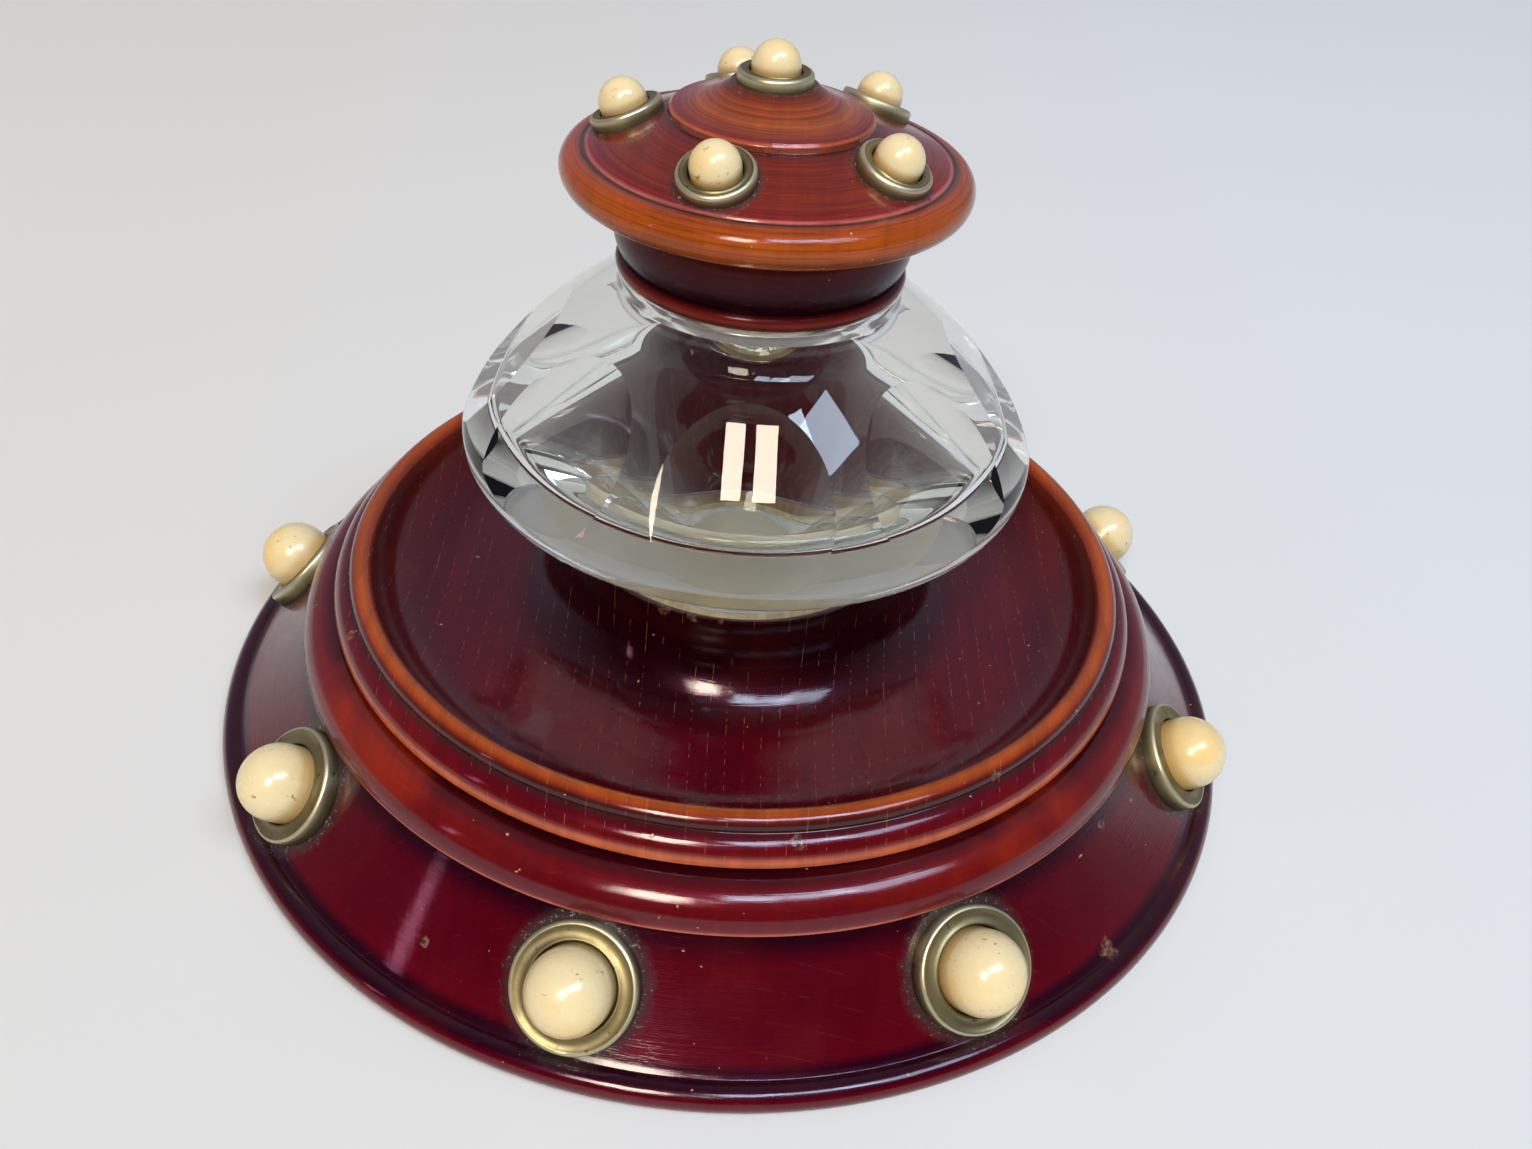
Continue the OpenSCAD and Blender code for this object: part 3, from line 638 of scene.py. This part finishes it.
def tray_wood():
    c = colours()
    floor = mix(c.mahogany, c.plum, 0.25)
    stops = [
        # Pale bare wood in the recess, painted paler than the wood is, for the light that the glass
        # gathers onto it
        (0.0, c.bare), (24.2, c.bare), (24.45, tint(120, 66, 40)), (24.9, tint(70, 22, 16)),
        # Painted shade: near black on the boss's flank and hollow under the glass, from 25.5 to 32 mm,
        # easing to the floor at 36 mm
        (25.5, tint(22, 1, 3)), (28.0, tint(24, 1, 3)), (32.0, tint(40, 2, 7)),
        (36.0, floor), (44.0, floor), (49.0, tint(64, 4, 12)), (53.0, tint(80, 10, 12)),
        (55.0, tint(84, 22, 12)), (55.9, mix(c.rubbed, c.amber, 0.35)), (56.7, c.amber),
        (57.5, mix(c.rubbed, c.amber, 0.5)), (58.1, tint(84, 22, 14)),
        (58.45, tint(44, 24, 20)), (58.75, tint(60, 8, 10)), (59.4, c.mahogany),
        (60.5, mix(c.mahogany, c.rubbed, 0.12)), (60.85, tint(110, 30, 20)),
        # Painted highlight: the pale orange line on the rim's sharp edge, at 60.95 to 61 mm
        (60.95, tint(196, 100, 60)), (61.0, tint(196, 100, 60))]
    chips = [((11.6, -58.4, 26.2), 1.5), ((-52.1, -29.1, 26.1), 1.3), ((36.3, -45.6, 27.7), 1.1),
             ((-6.0, -59.5, 26.0), 0.35), ((-9.2, -23.4, 31.6), 1.4), ((-5.0, -24.7, 31.7), 1.2),
             ((-1.0, -25.2, 31.7), 0.9)]
    return polished_wood("tray_mahogany", "radius", stops, grain_turn=math.radians(-4),
                         fleck=0.5, lines=0.25, patch=0.15, streak=0.22, chips=chips)


def cap_wood():
    c = colours()
    stops = [
        (0.0, tint(120, 56, 26)), (5.6, tint(100, 44, 26)), (6.6, tint(140, 62, 30)),
        (9.5, tint(158, 80, 36)), (11.8, tint(126, 46, 26)), (12.5, tint(112, 30, 24)),
        # Painted highlight: the pale band at 12.9 mm on the centre disc's edge
        (12.9, tint(190, 96, 62)), (13.05, tint(60, 22, 16)), (13.5, tint(84, 26, 18)),
        (14.6, c.lid_red), (21.5, c.lid_red), (22.8, tint(122, 26, 26)),
        # Painted highlight: the pink band at 23.25 mm on the slope's outer edge, by the groove
        (23.25, tint(190, 104, 92)), (23.42, tint(50, 26, 22)), (23.95, tint(84, 50, 32)),
        (24.6, mix(c.rubbed, c.amber, 0.55)), (26.0, mix(c.rubbed, c.amber, 0.85)),
        (26.7, c.amber)]
    chips = [((-4.0, -4.4, 97.3), 0.5), ((-14.5, -21.8, 86.9), 0.6), ((9.0, -24.4, 88.6), 0.45)]
    return polished_wood("cap_mahogany", "radius", stops, fleck=0.1, lines=1.2, patch=0.25,
                         streak=0.15, coat=0.5, halo=(stud_points("lid", "crown"), 4.7, 5.9), chips=chips)


def collar_wood():
    c = colours()
    z = Heights().collar
    stops = [
        # Banded by height: above the lower band, the near-black band and the reddish brown higher up the
        # swell are painted reflections, and the darker top under the brim is painted shade
        (z, tint(88, 26, 16)), (z + 1.4, tint(110, 36, 20)), (z + 2.1, tint(64, 12, 12)),
        (z + 2.4, tint(14, 2, 5)), (z + 3.4, tint(18, 1, 6)), (z + 5.4, tint(44, 10, 12)),
        (z + 7.4, tint(84, 26, 20)), (z + 9.4, tint(96, 34, 24)), (z + 10.4, tint(50, 16, 14))]
    return polished_wood("collar_mahogany", "height", stops, fleck=0.05, lines=0.8, patch=0.2,
                         streak=0.1, coat=0.15)


def polished_bone():
    """Bone dome: cream, with yellow patches, brown flecks and a darker, striated shank."""
    f = Finish("polished_bone", Coat_Weight=0.15, Coat_Roughness=0.1, Subsurface_Weight=0.22,
               Subsurface_Scale=0.0012, Subsurface_Radius=(1.0, 0.7, 0.45))
    yellow = f.level(f.noise(95.0, 3.0, 0.5), 0.46, 0.68)
    base = f.blend(f.times(yellow, 0.75), colours().bone, tint(222, 190, 124))
    brown = f.level(f.noise(1.0, 3.0, 0.65, at=f.stretched(520.0, 1150.0, 700.0, 0.6)), 0.64, 0.70)
    sparse = f.level(f.noise(120.0, 2.0), 0.46, 0.58)
    base = f.blend(f.times(f.times(brown, sparse), 0.8), base, tint(120, 78, 40))
    # The shank under the dome is darker: an attribute holds the height along the stud
    along = f.attribute("along")
    rings = f.noise(1.0, 3.0, 0.6, at=f.vector(f.times(along, 9.0), 0.0, 0.0))
    shade = f.blend(rings, tint(150, 112, 60), tint(196, 160, 98))
    base = f.blend(f.times(f.level(along, 0.62, 0.05), 0.85), base, shade)
    f.set("Base Color", base)
    f.set("Roughness", f.level(f.noise(260.0, 3.0), 0.3, 0.8, 0.18, 0.36))
    f.set("Normal", f.bump(f.noise(700.0, 3.0, 0.6), 0.012))
    return f.material


def nickel_silver():
    """Tarnished nickel silver, brighter where it is rubbed, with dark spots."""
    f = Finish("nickel_silver", Metallic=0.9)
    tarnish = f.noise(170.0, 4.0, 0.6)
    base = f.blend(f.level(tarnish, 0.40, 0.70), colours().nickel, tint(118, 106, 72))
    spots = f.level(f.noise(820.0, 2.0, 0.5), 0.66, 0.74)
    warm = f.level(f.noise(60.0, 2.0), 0.5, 0.75)
    for share, amount, shade in ((spots, 0.75, tint(58, 50, 34)), (warm, 0.35, tint(196, 176, 116)),
                                 (f.attribute("edge"), 0.6, tint(226, 220, 186)),
                                 (f.attribute("deep"), 0.4, tint(50, 44, 32))):
        base = f.blend(f.times(share, amount), base, shade)
    f.set("Base Color", base)
    f.set("Roughness", f.level(tarnish, 0.3, 0.75, 0.36, 0.56))
    scratches = f.noise(1.0, 3.0, 0.6, at=f.stretched(300.0, 2600.0, 900.0, 0.5))
    f.set("Normal", f.bump(f.plus(scratches, f.times(spots, -0.6)), 0.012))
    return f.material


def cut_glass():
    """Clear, slightly grey old glass with faint waves, a ground flange and a ground foot."""
    f = Finish("cut_glass", IOR=1.5)
    h = Heights()
    flange = h.flange * MM
    ground = f.times(f.level(f.height, flange - 0.1 * MM, flange + 0.15 * MM),
                     f.level(f.radius, 15.5 * MM, 16.0 * MM))
    foot = f.level(f.height, (h.well_foot + 0.15) * MM, (h.well_foot + 0.02) * MM)
    f.set("Base Color", colours().glass)
    f.set("Roughness", f.plus(f.times(ground, 0.16), f.times(foot, 0.6)))
    f.set("Transmission Weight", f.maths("SUBTRACT", 1.0, f.times(ground, 0.12)))
    f.set("Normal", f.bump(f.noise(45.0, 2.0, 0.4), 0.01))
    return f.material


def plain_cork():
    f = Finish("cork", Roughness=0.85)
    grains = f.node("ShaderNodeTexVoronoi", {"Vector": f.place, "Scale": 900.0})
    grain = grains.outputs["Distance"]
    f.set("Base Color", f.blend(f.level(grain, 0.1, 0.7), colours().cork, tint(112, 74, 44)))
    f.set("Normal", f.bump(grain, 0.15))
    return f.material


# ---- Operators: the pieces --------------------------------------------------

class INKSTAND_OT_plinth(bpy.types.Operator):
    """Turn the plinth: foot bead, hollow skirt, fillet and shoulder roll"""
    bl_idname = "inkstand.plinth"
    bl_label = "Plinth"

    def execute(self, context):
        h = Heights()
        s = h.stand
        foot = (s.foot_d / 2 - s.foot_bead_r, s.foot_bead_z)
        roll = (s.roll_d / 2, s.roll_z)
        section = Section(s.bore_d / 2, 0)
        section.run(foot[0] + side(s.foot_bead_r, s.foot_bead_z), 0, 6)
        section.round_to(foot, heading(foot, h.skirt_foot), 14)
        section.bow(*h.skirt_top, -s.skirt_hollow, 18)
        section.path((h.skirt_top[0], s.roll_z), (roll[0] + s.roll_r, s.roll_z))
        section.round_to(roll, 90, 18)
        seat_r = roll[0] - side(s.roll_r, s.roll_r - s.seat_cut)
        section.round_to(roll, heading(roll, (seat_r, h.seat)), 5)
        section.path((s.spigot_d / 2, h.seat), (s.spigot_d / 2, h.seat - s.spigot_h),
                     (s.bore_d / 2, h.seat - s.spigot_h))
        section.close()
        mesh = section.turn(STAND_STEPS)
        soften(mesh, width=0.14)
        piece(mesh, "plinth_turned", "stand", ["plinth"], plinth_wood())
        return {"FINISHED"}


class INKSTAND_OT_tray(bpy.types.Operator):
    """Turn the tray: rim, dished floor and the boss that carries the well"""
    bl_idname = "inkstand.tray"
    bl_label = "Tray"

    def execute(self, context):
        h = Heights()
        s = h.stand
        seat_r = s.roll_d / 2 - side(s.roll_r, s.roll_r - s.seat_cut)
        quarter = (s.rim_d / 2 - s.rim_roll_r, h.rim_edge)
        bead = (s.bead_d / 2, h.rim_edge + s.rim_roll_r + s.bead_rise)
        dish = (bead[0] - s.bead_r - s.dish_cove_r, h.floor + s.dish_cove_r)
        boss = (s.boss_d / 2 + s.boss_cove_r, h.floor + s.boss_cove_r)
        spigot_r, undercut_r = s.spigot_d / 2 - GLUE_GAP, s.rim_d / 2 - s.rim_undercut
        rim_foot = h.rim_edge - s.rim_edge_t
        section = Section(0, h.seat - s.spigot_h)
        section.run(spigot_r, h.seat - s.spigot_h, 4)
        section.path((spigot_r, h.seat), (seat_r, h.seat), (seat_r, h.seat + s.rim_gap),
                     (undercut_r, h.seat + s.rim_gap), (undercut_r, rim_foot),
                     (s.rim_d / 2, rim_foot), (s.rim_d / 2, h.rim_edge))
        # The quarter roll runs up to where it meets the bead
        gap = math.dist(quarter, bead)
        apart = (s.rim_roll_r ** 2 - s.bead_r ** 2 + gap ** 2) / (2 * gap)
        meet = heading(quarter, bead) - math.degrees(math.acos(apart / s.rim_roll_r))
        section.round_to(quarter, meet, 14)
        section.round(bead, 180 - heading(bead, section.here()), 22)
        section.round_to(dish, -90, 18)
        section.run(boss[0], h.floor, 5)
        section.round(boss, -90, 18)
        recess_r = s.boss_d / 2 - s.recess_wall
        section.path((s.boss_d / 2, h.boss), (recess_r, h.boss), (recess_r, h.recess))
        section.run(0, h.recess, 6)
        mesh = section.turn(STAND_STEPS)
        soften(mesh, width=0.12)
        piece(mesh, "tray_turned", "stand", ["tray"], tray_wood())
        return {"FINISHED"}


class INKSTAND_OT_well(bpy.types.Operator):
    """Blow and cut the glass well: thick hollow body with flat panels on its shoulder"""
    bl_idname = "inkstand.well"
    bl_label = "Glass well"

    def execute(self, context):
        h = Heights()
        w = h.well
        foot_edge = (w.foot_d / 2, h.well_foot + w.foot_h)
        flange_foot = (w.flange_d / 2, h.flange)
        flange_top = h.flange + w.flange_t
        shoulder = holding_centre(flange_foot, w.shoulder_r, h.girdle, w.girdle_r)
        section = Section(0, h.well_foot)
        section.run(w.foot_d / 2, h.well_foot, 5)
        section.to(*foot_edge)
        section.run(*touch_point(foot_edge, h.girdle, w.girdle_r), 8)
        section.round_to(h.girdle, heading(shoulder, h.girdle), 36)
        section.round_to(shoulder, heading(shoulder, flange_foot), 30)
        lip = (w.flange_d / 2 - w.flange_t / 2, flange_top - w.flange_t / 2)
        section.to(w.flange_d / 2, lip[1])
        section.round_to(lip, 90, 6)
        section.to(w.neck_d / 2, flange_top)
        neck_lip = (w.neck_d / 2 - w.lip_r, h.neck_top - w.lip_r)
        section.run(w.neck_d / 2, neck_lip[1], 4)
        section.round_to(neck_lip, 90, 6)
        # Down the mouth, through the throat and round the hollow
        edge = (w.well_d / 2 - w.girdle_wall - w.hollow_r, h.girdle[1] + w.hollow_lift)
        roof_foot = (edge[0] + w.hollow_r * math.sin(w.roof),
                     edge[1] + w.hollow_r * math.cos(w.roof))
        mouth_r = w.mouth_d / 2
        throat_x = mouth_r + w.throat_r
        turn_x = throat_x - w.throat_r * math.sin(w.roof)
        turn_z = roof_foot[1] + (roof_foot[0] - turn_x) * math.tan(w.roof)
        throat = (throat_x, turn_z + w.throat_r * math.cos(w.roof))
        section.to(mouth_r + MOUTH_ROUND, h.neck_top)
        section.round((mouth_r + MOUTH_ROUND, h.neck_top - MOUTH_ROUND), 90, 5)
        section.run(mouth_r, throat[1], 5)
        section.round_to(throat, -90 - math.degrees(w.roof), 16)
        section.run(*roof_foot, 16)
        floor_edge = (w.floor_d / 2, h.well_foot + w.bottom_t)
        section.round_to(edge, -90, 20)
        section.bow(*floor_edge, w.bowl, 28)
        section.run(0, floor_edge[1], 5)
        mesh = section.turn(WELL_STEPS)
        self.cut_panels(mesh, h)
        piece(mesh, "well_cut", "well", ["ink_well"], cut_glass(), sharp=30)
        return {"FINISHED"}

    def cut_panels(self, mesh, h):
        w = h.well
        drop = (h.girdle[0] - w.flange_d / 2, h.flange - h.girdle[1])
        tilt = (math.atan2(*drop) + math.asin(w.girdle_r / math.hypot(*drop)) - w.panel_lean)
        reach = h.girdle[0] * math.cos(tilt) + w.girdle_r - w.panel_depth
        middle = Vector((0, 0, h.girdle[1] * MM))
        flat = mesh.faces.layers.int.new("cut")
        for i in range(w.panels):
            bearing = math.radians(270) + w.panel_turn + math.tau * i / w.panels
            facing = Vector((math.cos(bearing) * math.cos(tilt),
                             math.sin(bearing) * math.cos(tilt), math.sin(tilt)))
            # Only the outside of the shoulder meets the wheel
            outside = [f for f in mesh.faces if (f.calc_center_median() - middle).dot(facing)
                       > (reach - PANEL_BAND) * MM]
            geometry = set(outside)
            for f in outside:
                geometry.update(f.edges)
                geometry.update(f.verts)
            cut = bmesh.ops.bisect_plane(
                mesh, geom=list(geometry), dist=1e-7,
                plane_co=middle + facing * reach * MM, plane_no=facing, clear_outer=True)
            rim = [e for e in cut["geom_cut"] if isinstance(e, bmesh.types.BMEdge)]
            for face in bmesh.ops.edgeloop_fill(mesh, edges=rim)["faces"]:
                face[flat] = i + 1
        bmesh.ops.remove_doubles(mesh, verts=mesh.verts[:], dist=0.001 * MM)
        bmesh.ops.recalc_face_normals(mesh, faces=mesh.faces[:])


class INKSTAND_OT_lid(bpy.types.Operator):
    """Turn the lid: cap, collar and the cork inside"""
    bl_idname = "inkstand.lid"
    bl_label = "Lid"

    def execute(self, context):
        h = Heights()
        l = h.lid
        tenon_r, tenon_foot = l.bore_d / 2 - GLUE_GAP, h.collar_top - l.tenon_h
        section = Section(0, tenon_foot)
        section.path((tenon_r, tenon_foot), (tenon_r, h.collar_top), (l.seat_d / 2, h.collar_top))
        section.run(h.brim[0], h.brim[1] - l.brim_r, 3)
        section.round_to(h.brim, 0, 12)
        section.round_to(h.brim, 80, 12)
        groove = (h.slope_foot[0] + l.groove_r / 2, h.slope_foot[1] + l.groove_r / 2)
        slant = l.groove_r * 0.7
        section.path((groove[0] + l.groove_r, h.brim[1] + l.brim_r - 0.02),
                     (groove[0] + slant, groove[1] - slant), (groove[0], groove[1] - l.groove_r),
                     (groove[0] - slant, groove[1] - slant))
        rise = (h.slope_top[1] - h.slope_foot[1]) / (h.slope_top[0] - h.slope_foot[0])
        start = groove[0] - l.groove_r * 0.95
        section.to(start, h.slope_foot[1] + (start - h.slope_foot[0]) * rise)
        quirk = l.disc_d / 2 + l.quirk_r * 1.3
        section.run(quirk, h.slope_foot[1] + (quirk - h.slope_foot[0]) * rise, 12)
        disc_r = l.disc_d / 2
        section.path((disc_r + l.quirk_r / 3, h.slope_top[1] - l.quirk_r * 0.4),
                     (disc_r, h.slope_top[1]), (disc_r, h.disc - l.disc_chamfer),
                     (disc_r - l.disc_chamfer, h.disc))
        section.bow(h.crown_flat, h.crown, -l.disc_hollow, 14)
        section.to(0, h.crown)
        mesh = section.turn(LID_STEPS)
        soften(mesh, width=0.1)
        piece(mesh, "cap_turned", "lid", ["lid_cap"], cap_wood())

        band_r = l.band_h / 2
        band = (l.band_d / 2 - band_r, h.collar + band_r)
        section = Section(l.bore_d / 2, h.collar)
        section.to(band[0], h.collar)
        section.round_to(band, 0, 8)
        section.round_to(band, 84, 8)
        side_r = l.collar_d / 2 - l.collar_swell
        section.to(side_r, h.collar + l.band_h)
        section.bow(side_r, h.collar_top, l.collar_swell, 20)
        section.to(l.bore_d / 2, h.collar_top)
        section.close()
        mesh = section.turn(LID_STEPS)
        soften(mesh, width=0.1, limit=50)
        piece(mesh, "collar_turned", "lid", ["lid_collar"], collar_wood())

        low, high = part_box("lid_cork")
        radius, foot, top = high.x / MM, low.z / MM, high.z / MM
        section = Section(0, foot)
        section.path((radius, foot), (radius, top), (0, top))
        mesh = section.turn(CORK_STEPS)
        soften(mesh, width=0.3)
        piece(mesh, "cork_disc", "lid", ["lid_cork"], plain_cork())
        return {"FINISHED"}


def stud_sizes(row):
    scene = bpy.context.scene
    return millimetres(scene.inkstand_stand_stud if row == "stand"
                       else scene.inkstand_lid_stud)


def stud_names(row, number, kind):
    """The CAD node and the body of one stud's ring or bone."""
    node = f"crown_{kind}" if row == "crown" else f"{row}_{kind}_{number}"
    return node, "stand" if row == "stand" else "lid"


class INKSTAND_OT_rings(bpy.types.Operator):
    """Turn the nickel-silver rings and let them into the wood"""
    bl_idname = "inkstand.rings"
    bl_label = "Rings"

    def execute(self, context):
        finish = nickel_silver()
        for row, number in STUDS:
            t = stud_sizes(row)
            bore, top, outer = t.bone_d / 2 + t.ring_gap, t.ring_h - t.sink, t.ring_d / 2
            section = Section(bore, -t.sink)
            section.to(outer, -t.sink)
            section.run(outer, top - t.ring_round, 3)
            section.round_to((outer - t.ring_round, top - t.ring_round), 90, 6)
            inner = bore + RING_BORE_ROUND
            section.bow(inner, top, -t.ring_dish, 10)
            section.round_to((inner, top - RING_BORE_ROUND), 180, 4)
            section.close()
            mesh = section.turn(RING_STEPS)
            # Rubbed outer edge, and dirt near the bone and near the wood
            edge = mesh.verts.layers.float.new("edge")
            deep = mesh.verts.layers.float.new("deep")
            for v in mesh.verts:
                r, z = math.hypot(v.co.x, v.co.y) / MM, v.co.z / MM
                rim = abs(r - outer) < t.ring_round and z > top - 1.2 * t.ring_round
                v[edge] = 1.0 if rim else 0.0
                v[deep] = max(0.0, 1.0 - (r - bore) / RING_DIRT_REACH,
                              1.0 - (z + 0.1) / RING_DIRT_REACH)
            mesh.transform(stud_place(row, number))
            node, body = stud_names(row, number, "ring")
            piece(mesh, node + "_turned", body, [node], finish, sharp=50)
        return {"FINISHED"}


class INKSTAND_OT_bones(bpy.types.Operator):
    """Turn the bone studs: peg, shank and polished dome"""
    bl_idname = "inkstand.bones"
    bl_label = "Bones"

    def execute(self, context):
        finish = polished_bone()
        for row, number in STUDS:
            t = stud_sizes(row)
            shank_top, r = t.ring_h - t.sink + t.rise, t.bone_d / 2
            peg_foot = GLUE_GAP - t.sink - t.peg_l
            section = Section(0, peg_foot)
            section.path((t.peg_d / 2, peg_foot), (t.peg_d / 2, -t.sink), (r, -t.sink))
            section.run(r, shank_top, 6)
            section.round_to((0, shank_top), 90, 22)
            mesh = section.turn(BONE_STEPS)
            along = mesh.verts.layers.float.new("along")
            for v in mesh.verts:
                v[along] = (v.co.z / MM - (t.ring_h - t.sink)) / (t.rise + r * 0.5)
            mesh.transform(stud_place(row, number))
            node, body = stud_names(row, number, "bone")
            piece(mesh, node + "_turned", body, [node], finish, sharp=50)
        return {"FINISHED"}


# ---- The stage --------------------------------------------------------------

def lamp(name, bearing, elevation, width, height, brightness, shade):
    """A rectangular lamp; place and size are degrees as seen from the stand."""
    data = bpy.data.lights.new(name, "AREA")
    data.shape = "RECTANGLE"
    data.size = 2 * LAMP_DISTANCE * math.tan(math.radians(width / 2))
    data.size_y = 2 * LAMP_DISTANCE * math.tan(math.radians(height / 2))
    data.energy, data.color = brightness * math.pi * data.size * data.size_y, shade
    made = bpy.data.objects.new(name, data)
    b, e = math.radians(bearing), math.radians(elevation)
    way = Vector((math.cos(b) * math.cos(e), math.sin(b) * math.cos(e), math.sin(e)))
    made.location = LAMP_AIM + way * LAMP_DISTANCE
    made.rotation_euler = way.to_track_quat("Z", "Y").to_euler()
    bpy.context.scene.collection.objects.link(made)


class INKSTAND_OT_stage(bpy.types.Operator):
    """Lay the pale floor and set up the camera, the lamps and the world"""
    bl_idname = "inkstand.stage"
    bl_label = "Stage"

    def execute(self, context):
        scene = context.scene
        self.floor(scene)
        self.world(scene)
        lamp("warm_pane_left", -112, 45, 4, 15, 16, WARM)
        lamp("warm_pane_middle", -103, 46, 9, 18, 36, WARM)
        lamp("warm_pane_right", -95, 46, 2.6, 14, 20, WARM)
        lamp("warm_gap_left", -88.4, 48.1, 0.9, 3.5, 25, WARM)
        lamp("warm_gap_right", -86.2, 48.1, 1.0, 3.5, 25, WARM)
        lamp("cool_pane_left", -75, 60, 9, 12, 20, COOL)
        lamp("cool_pane_right", -52, 61, 12, 13, 16, COOL)
        lamp("cool_pane_far", -30, 57, 18, 15, 11, COOL)
        lamp("pink_strip", -150, 19, 2.6, 12, 5.5, PINK)
        camera = scene.inkstand_camera
        data = bpy.data.cameras.new("camera")
        data.sensor_width, data.sensor_fit, data.lens = 36.0, "HORIZONTAL", camera.lens
        data.clip_start, data.clip_end = 0.01, 50.0
        made = bpy.data.objects.new("camera", data)
        aim = Matrix.Rotation(math.radians(90) - camera.elevation, 4, "X") @ Matrix.Rotation(
            camera.roll, 4, "Z")
        made.matrix_world = Matrix.Translation(camera.aim) @ aim @ Matrix.Translation(
            (0, 0, camera.distance))
        scene.collection.objects.link(made)
        scene.camera = made
        scene.view_settings.view_transform = "Standard"
        return {"FINISHED"}

    def floor(self, scene):
        mesh = bmesh.new()
        bmesh.ops.create_grid(mesh, x_segments=8, y_segments=8, size=FLOOR_HALF)
        data = bpy.data.meshes.new("floor")
        mesh.to_mesh(data)
        mesh.free()
        made = bpy.data.objects.new("floor", data)
        scene.collection.objects.link(made)
        f = Finish("pale_floor", Roughness=0.5, Specular_IOR_Level=0.3)
        c = colours()
        # The floor runs from a warmer tint on the left to a cooler one on the right: painted cool light
        # from the right
        f.set("Base Color", f.blend(f.level(f.x, -0.25, 0.25), c.backdrop, c.backdrop_cool))
        data.materials.append(f.material)

    def world(self, scene):
        """A weak even fill; in reflections and through glass, dark in front, pale behind."""
        world = bpy.data.worlds.new("studio")
        world.use_nodes = True
        scene.world = world
        n = Nodes(world.node_tree)
        way = n.node("ShaderNodeTexCoord").outputs["Generated"]
        backwards = n.node("ShaderNodeSeparateXYZ", {0: way}).outputs["Y"]
        path = n.node("ShaderNodeLightPath").outputs
        strength = SKY_FILL
        # A ray through glass may count as glossy too, so its kind comes last
        for kind, front, back in (("Is Camera Ray", 0.72, 0.72), ("Is Glossy Ray", 0.01, 0.38),
                                  ("Is Transmission Ray", 0.07, 0.66)):
            seen = n.level(backwards, -0.6, 0.7, front, back)
            strength = n.node("ShaderNodeMix", {0: path[kind], 2: strength, 3: seen}).outputs[0]
        mirrored = n.maths("SUBTRACT", path["Is Glossy Ray"], path["Is Transmission Ray"],
                           clamp=True)
        sky = world.node_tree.nodes["Background"]
        n.feed(sky.inputs["Strength"], strength)
        n.feed(sky.inputs["Color"], n.blend(mirrored, (1.0, 0.985, 0.965, 1.0),
                                            (0.88, 0.78, 1.0, 1.0)))


class INKSTAND_PT_panel(bpy.types.Panel):
    """Lists the inkstand's pieces"""
    bl_idname = "INKSTAND_PT_panel"
    bl_label = "Inkstand"
    bl_space_type = "VIEW_3D"
    bl_region_type = "UI"
    bl_category = "Inkstand"

    def draw(self, context):
        for operator in OPERATORS:
            self.layout.operator(operator.bl_idname)
        for name in GROUPS:
            box = self.layout.box()
            group = getattr(context.scene, name)
            for prop in group.__annotations__:
                box.prop(group, prop)


GROUPS = {
    "inkstand_stand": InkstandStand,
    "inkstand_well": InkstandWell,
    "inkstand_lid": InkstandLid,
    "inkstand_stand_stud": InkstandStud,
    "inkstand_lid_stud": InkstandStud,
    "inkstand_colours": InkstandColours,
    "inkstand_camera": InkstandCamera,
}
OPERATORS = (INKSTAND_OT_stage, INKSTAND_OT_plinth, INKSTAND_OT_tray, INKSTAND_OT_well,
             INKSTAND_OT_lid, INKSTAND_OT_rings, INKSTAND_OT_bones)
CLASSES = (*dict.fromkeys(GROUPS.values()), *OPERATORS, INKSTAND_PT_panel)
# Where the lid's studs differ from the stand's, in millimetres
LID_STUD = {"ring_d": 9.6, "ring_h": 2.1, "sink": 0.6, "bone_d": 6.2, "rise": 0.4,
            "peg_d": 3.2, "peg_l": 3.4}


def register():
    for cls in CLASSES:
        bpy.utils.register_class(cls)
    for name, group in GROUPS.items():
        setattr(bpy.types.Scene, name, PointerProperty(type=group))


def unregister():
    for name in GROUPS:
        delattr(bpy.types.Scene, name)
    for cls in CLASSES:
        bpy.utils.unregister_class(cls)


def main():
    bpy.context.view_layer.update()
    register()
    for name, value in LID_STUD.items():
        setattr(bpy.context.scene.inkstand_lid_stud, name, value * MM)
    for operator in OPERATORS:
        getattr(bpy.ops.inkstand, operator.bl_idname.split(".")[1])()


if __name__ == "__main__":
    main()
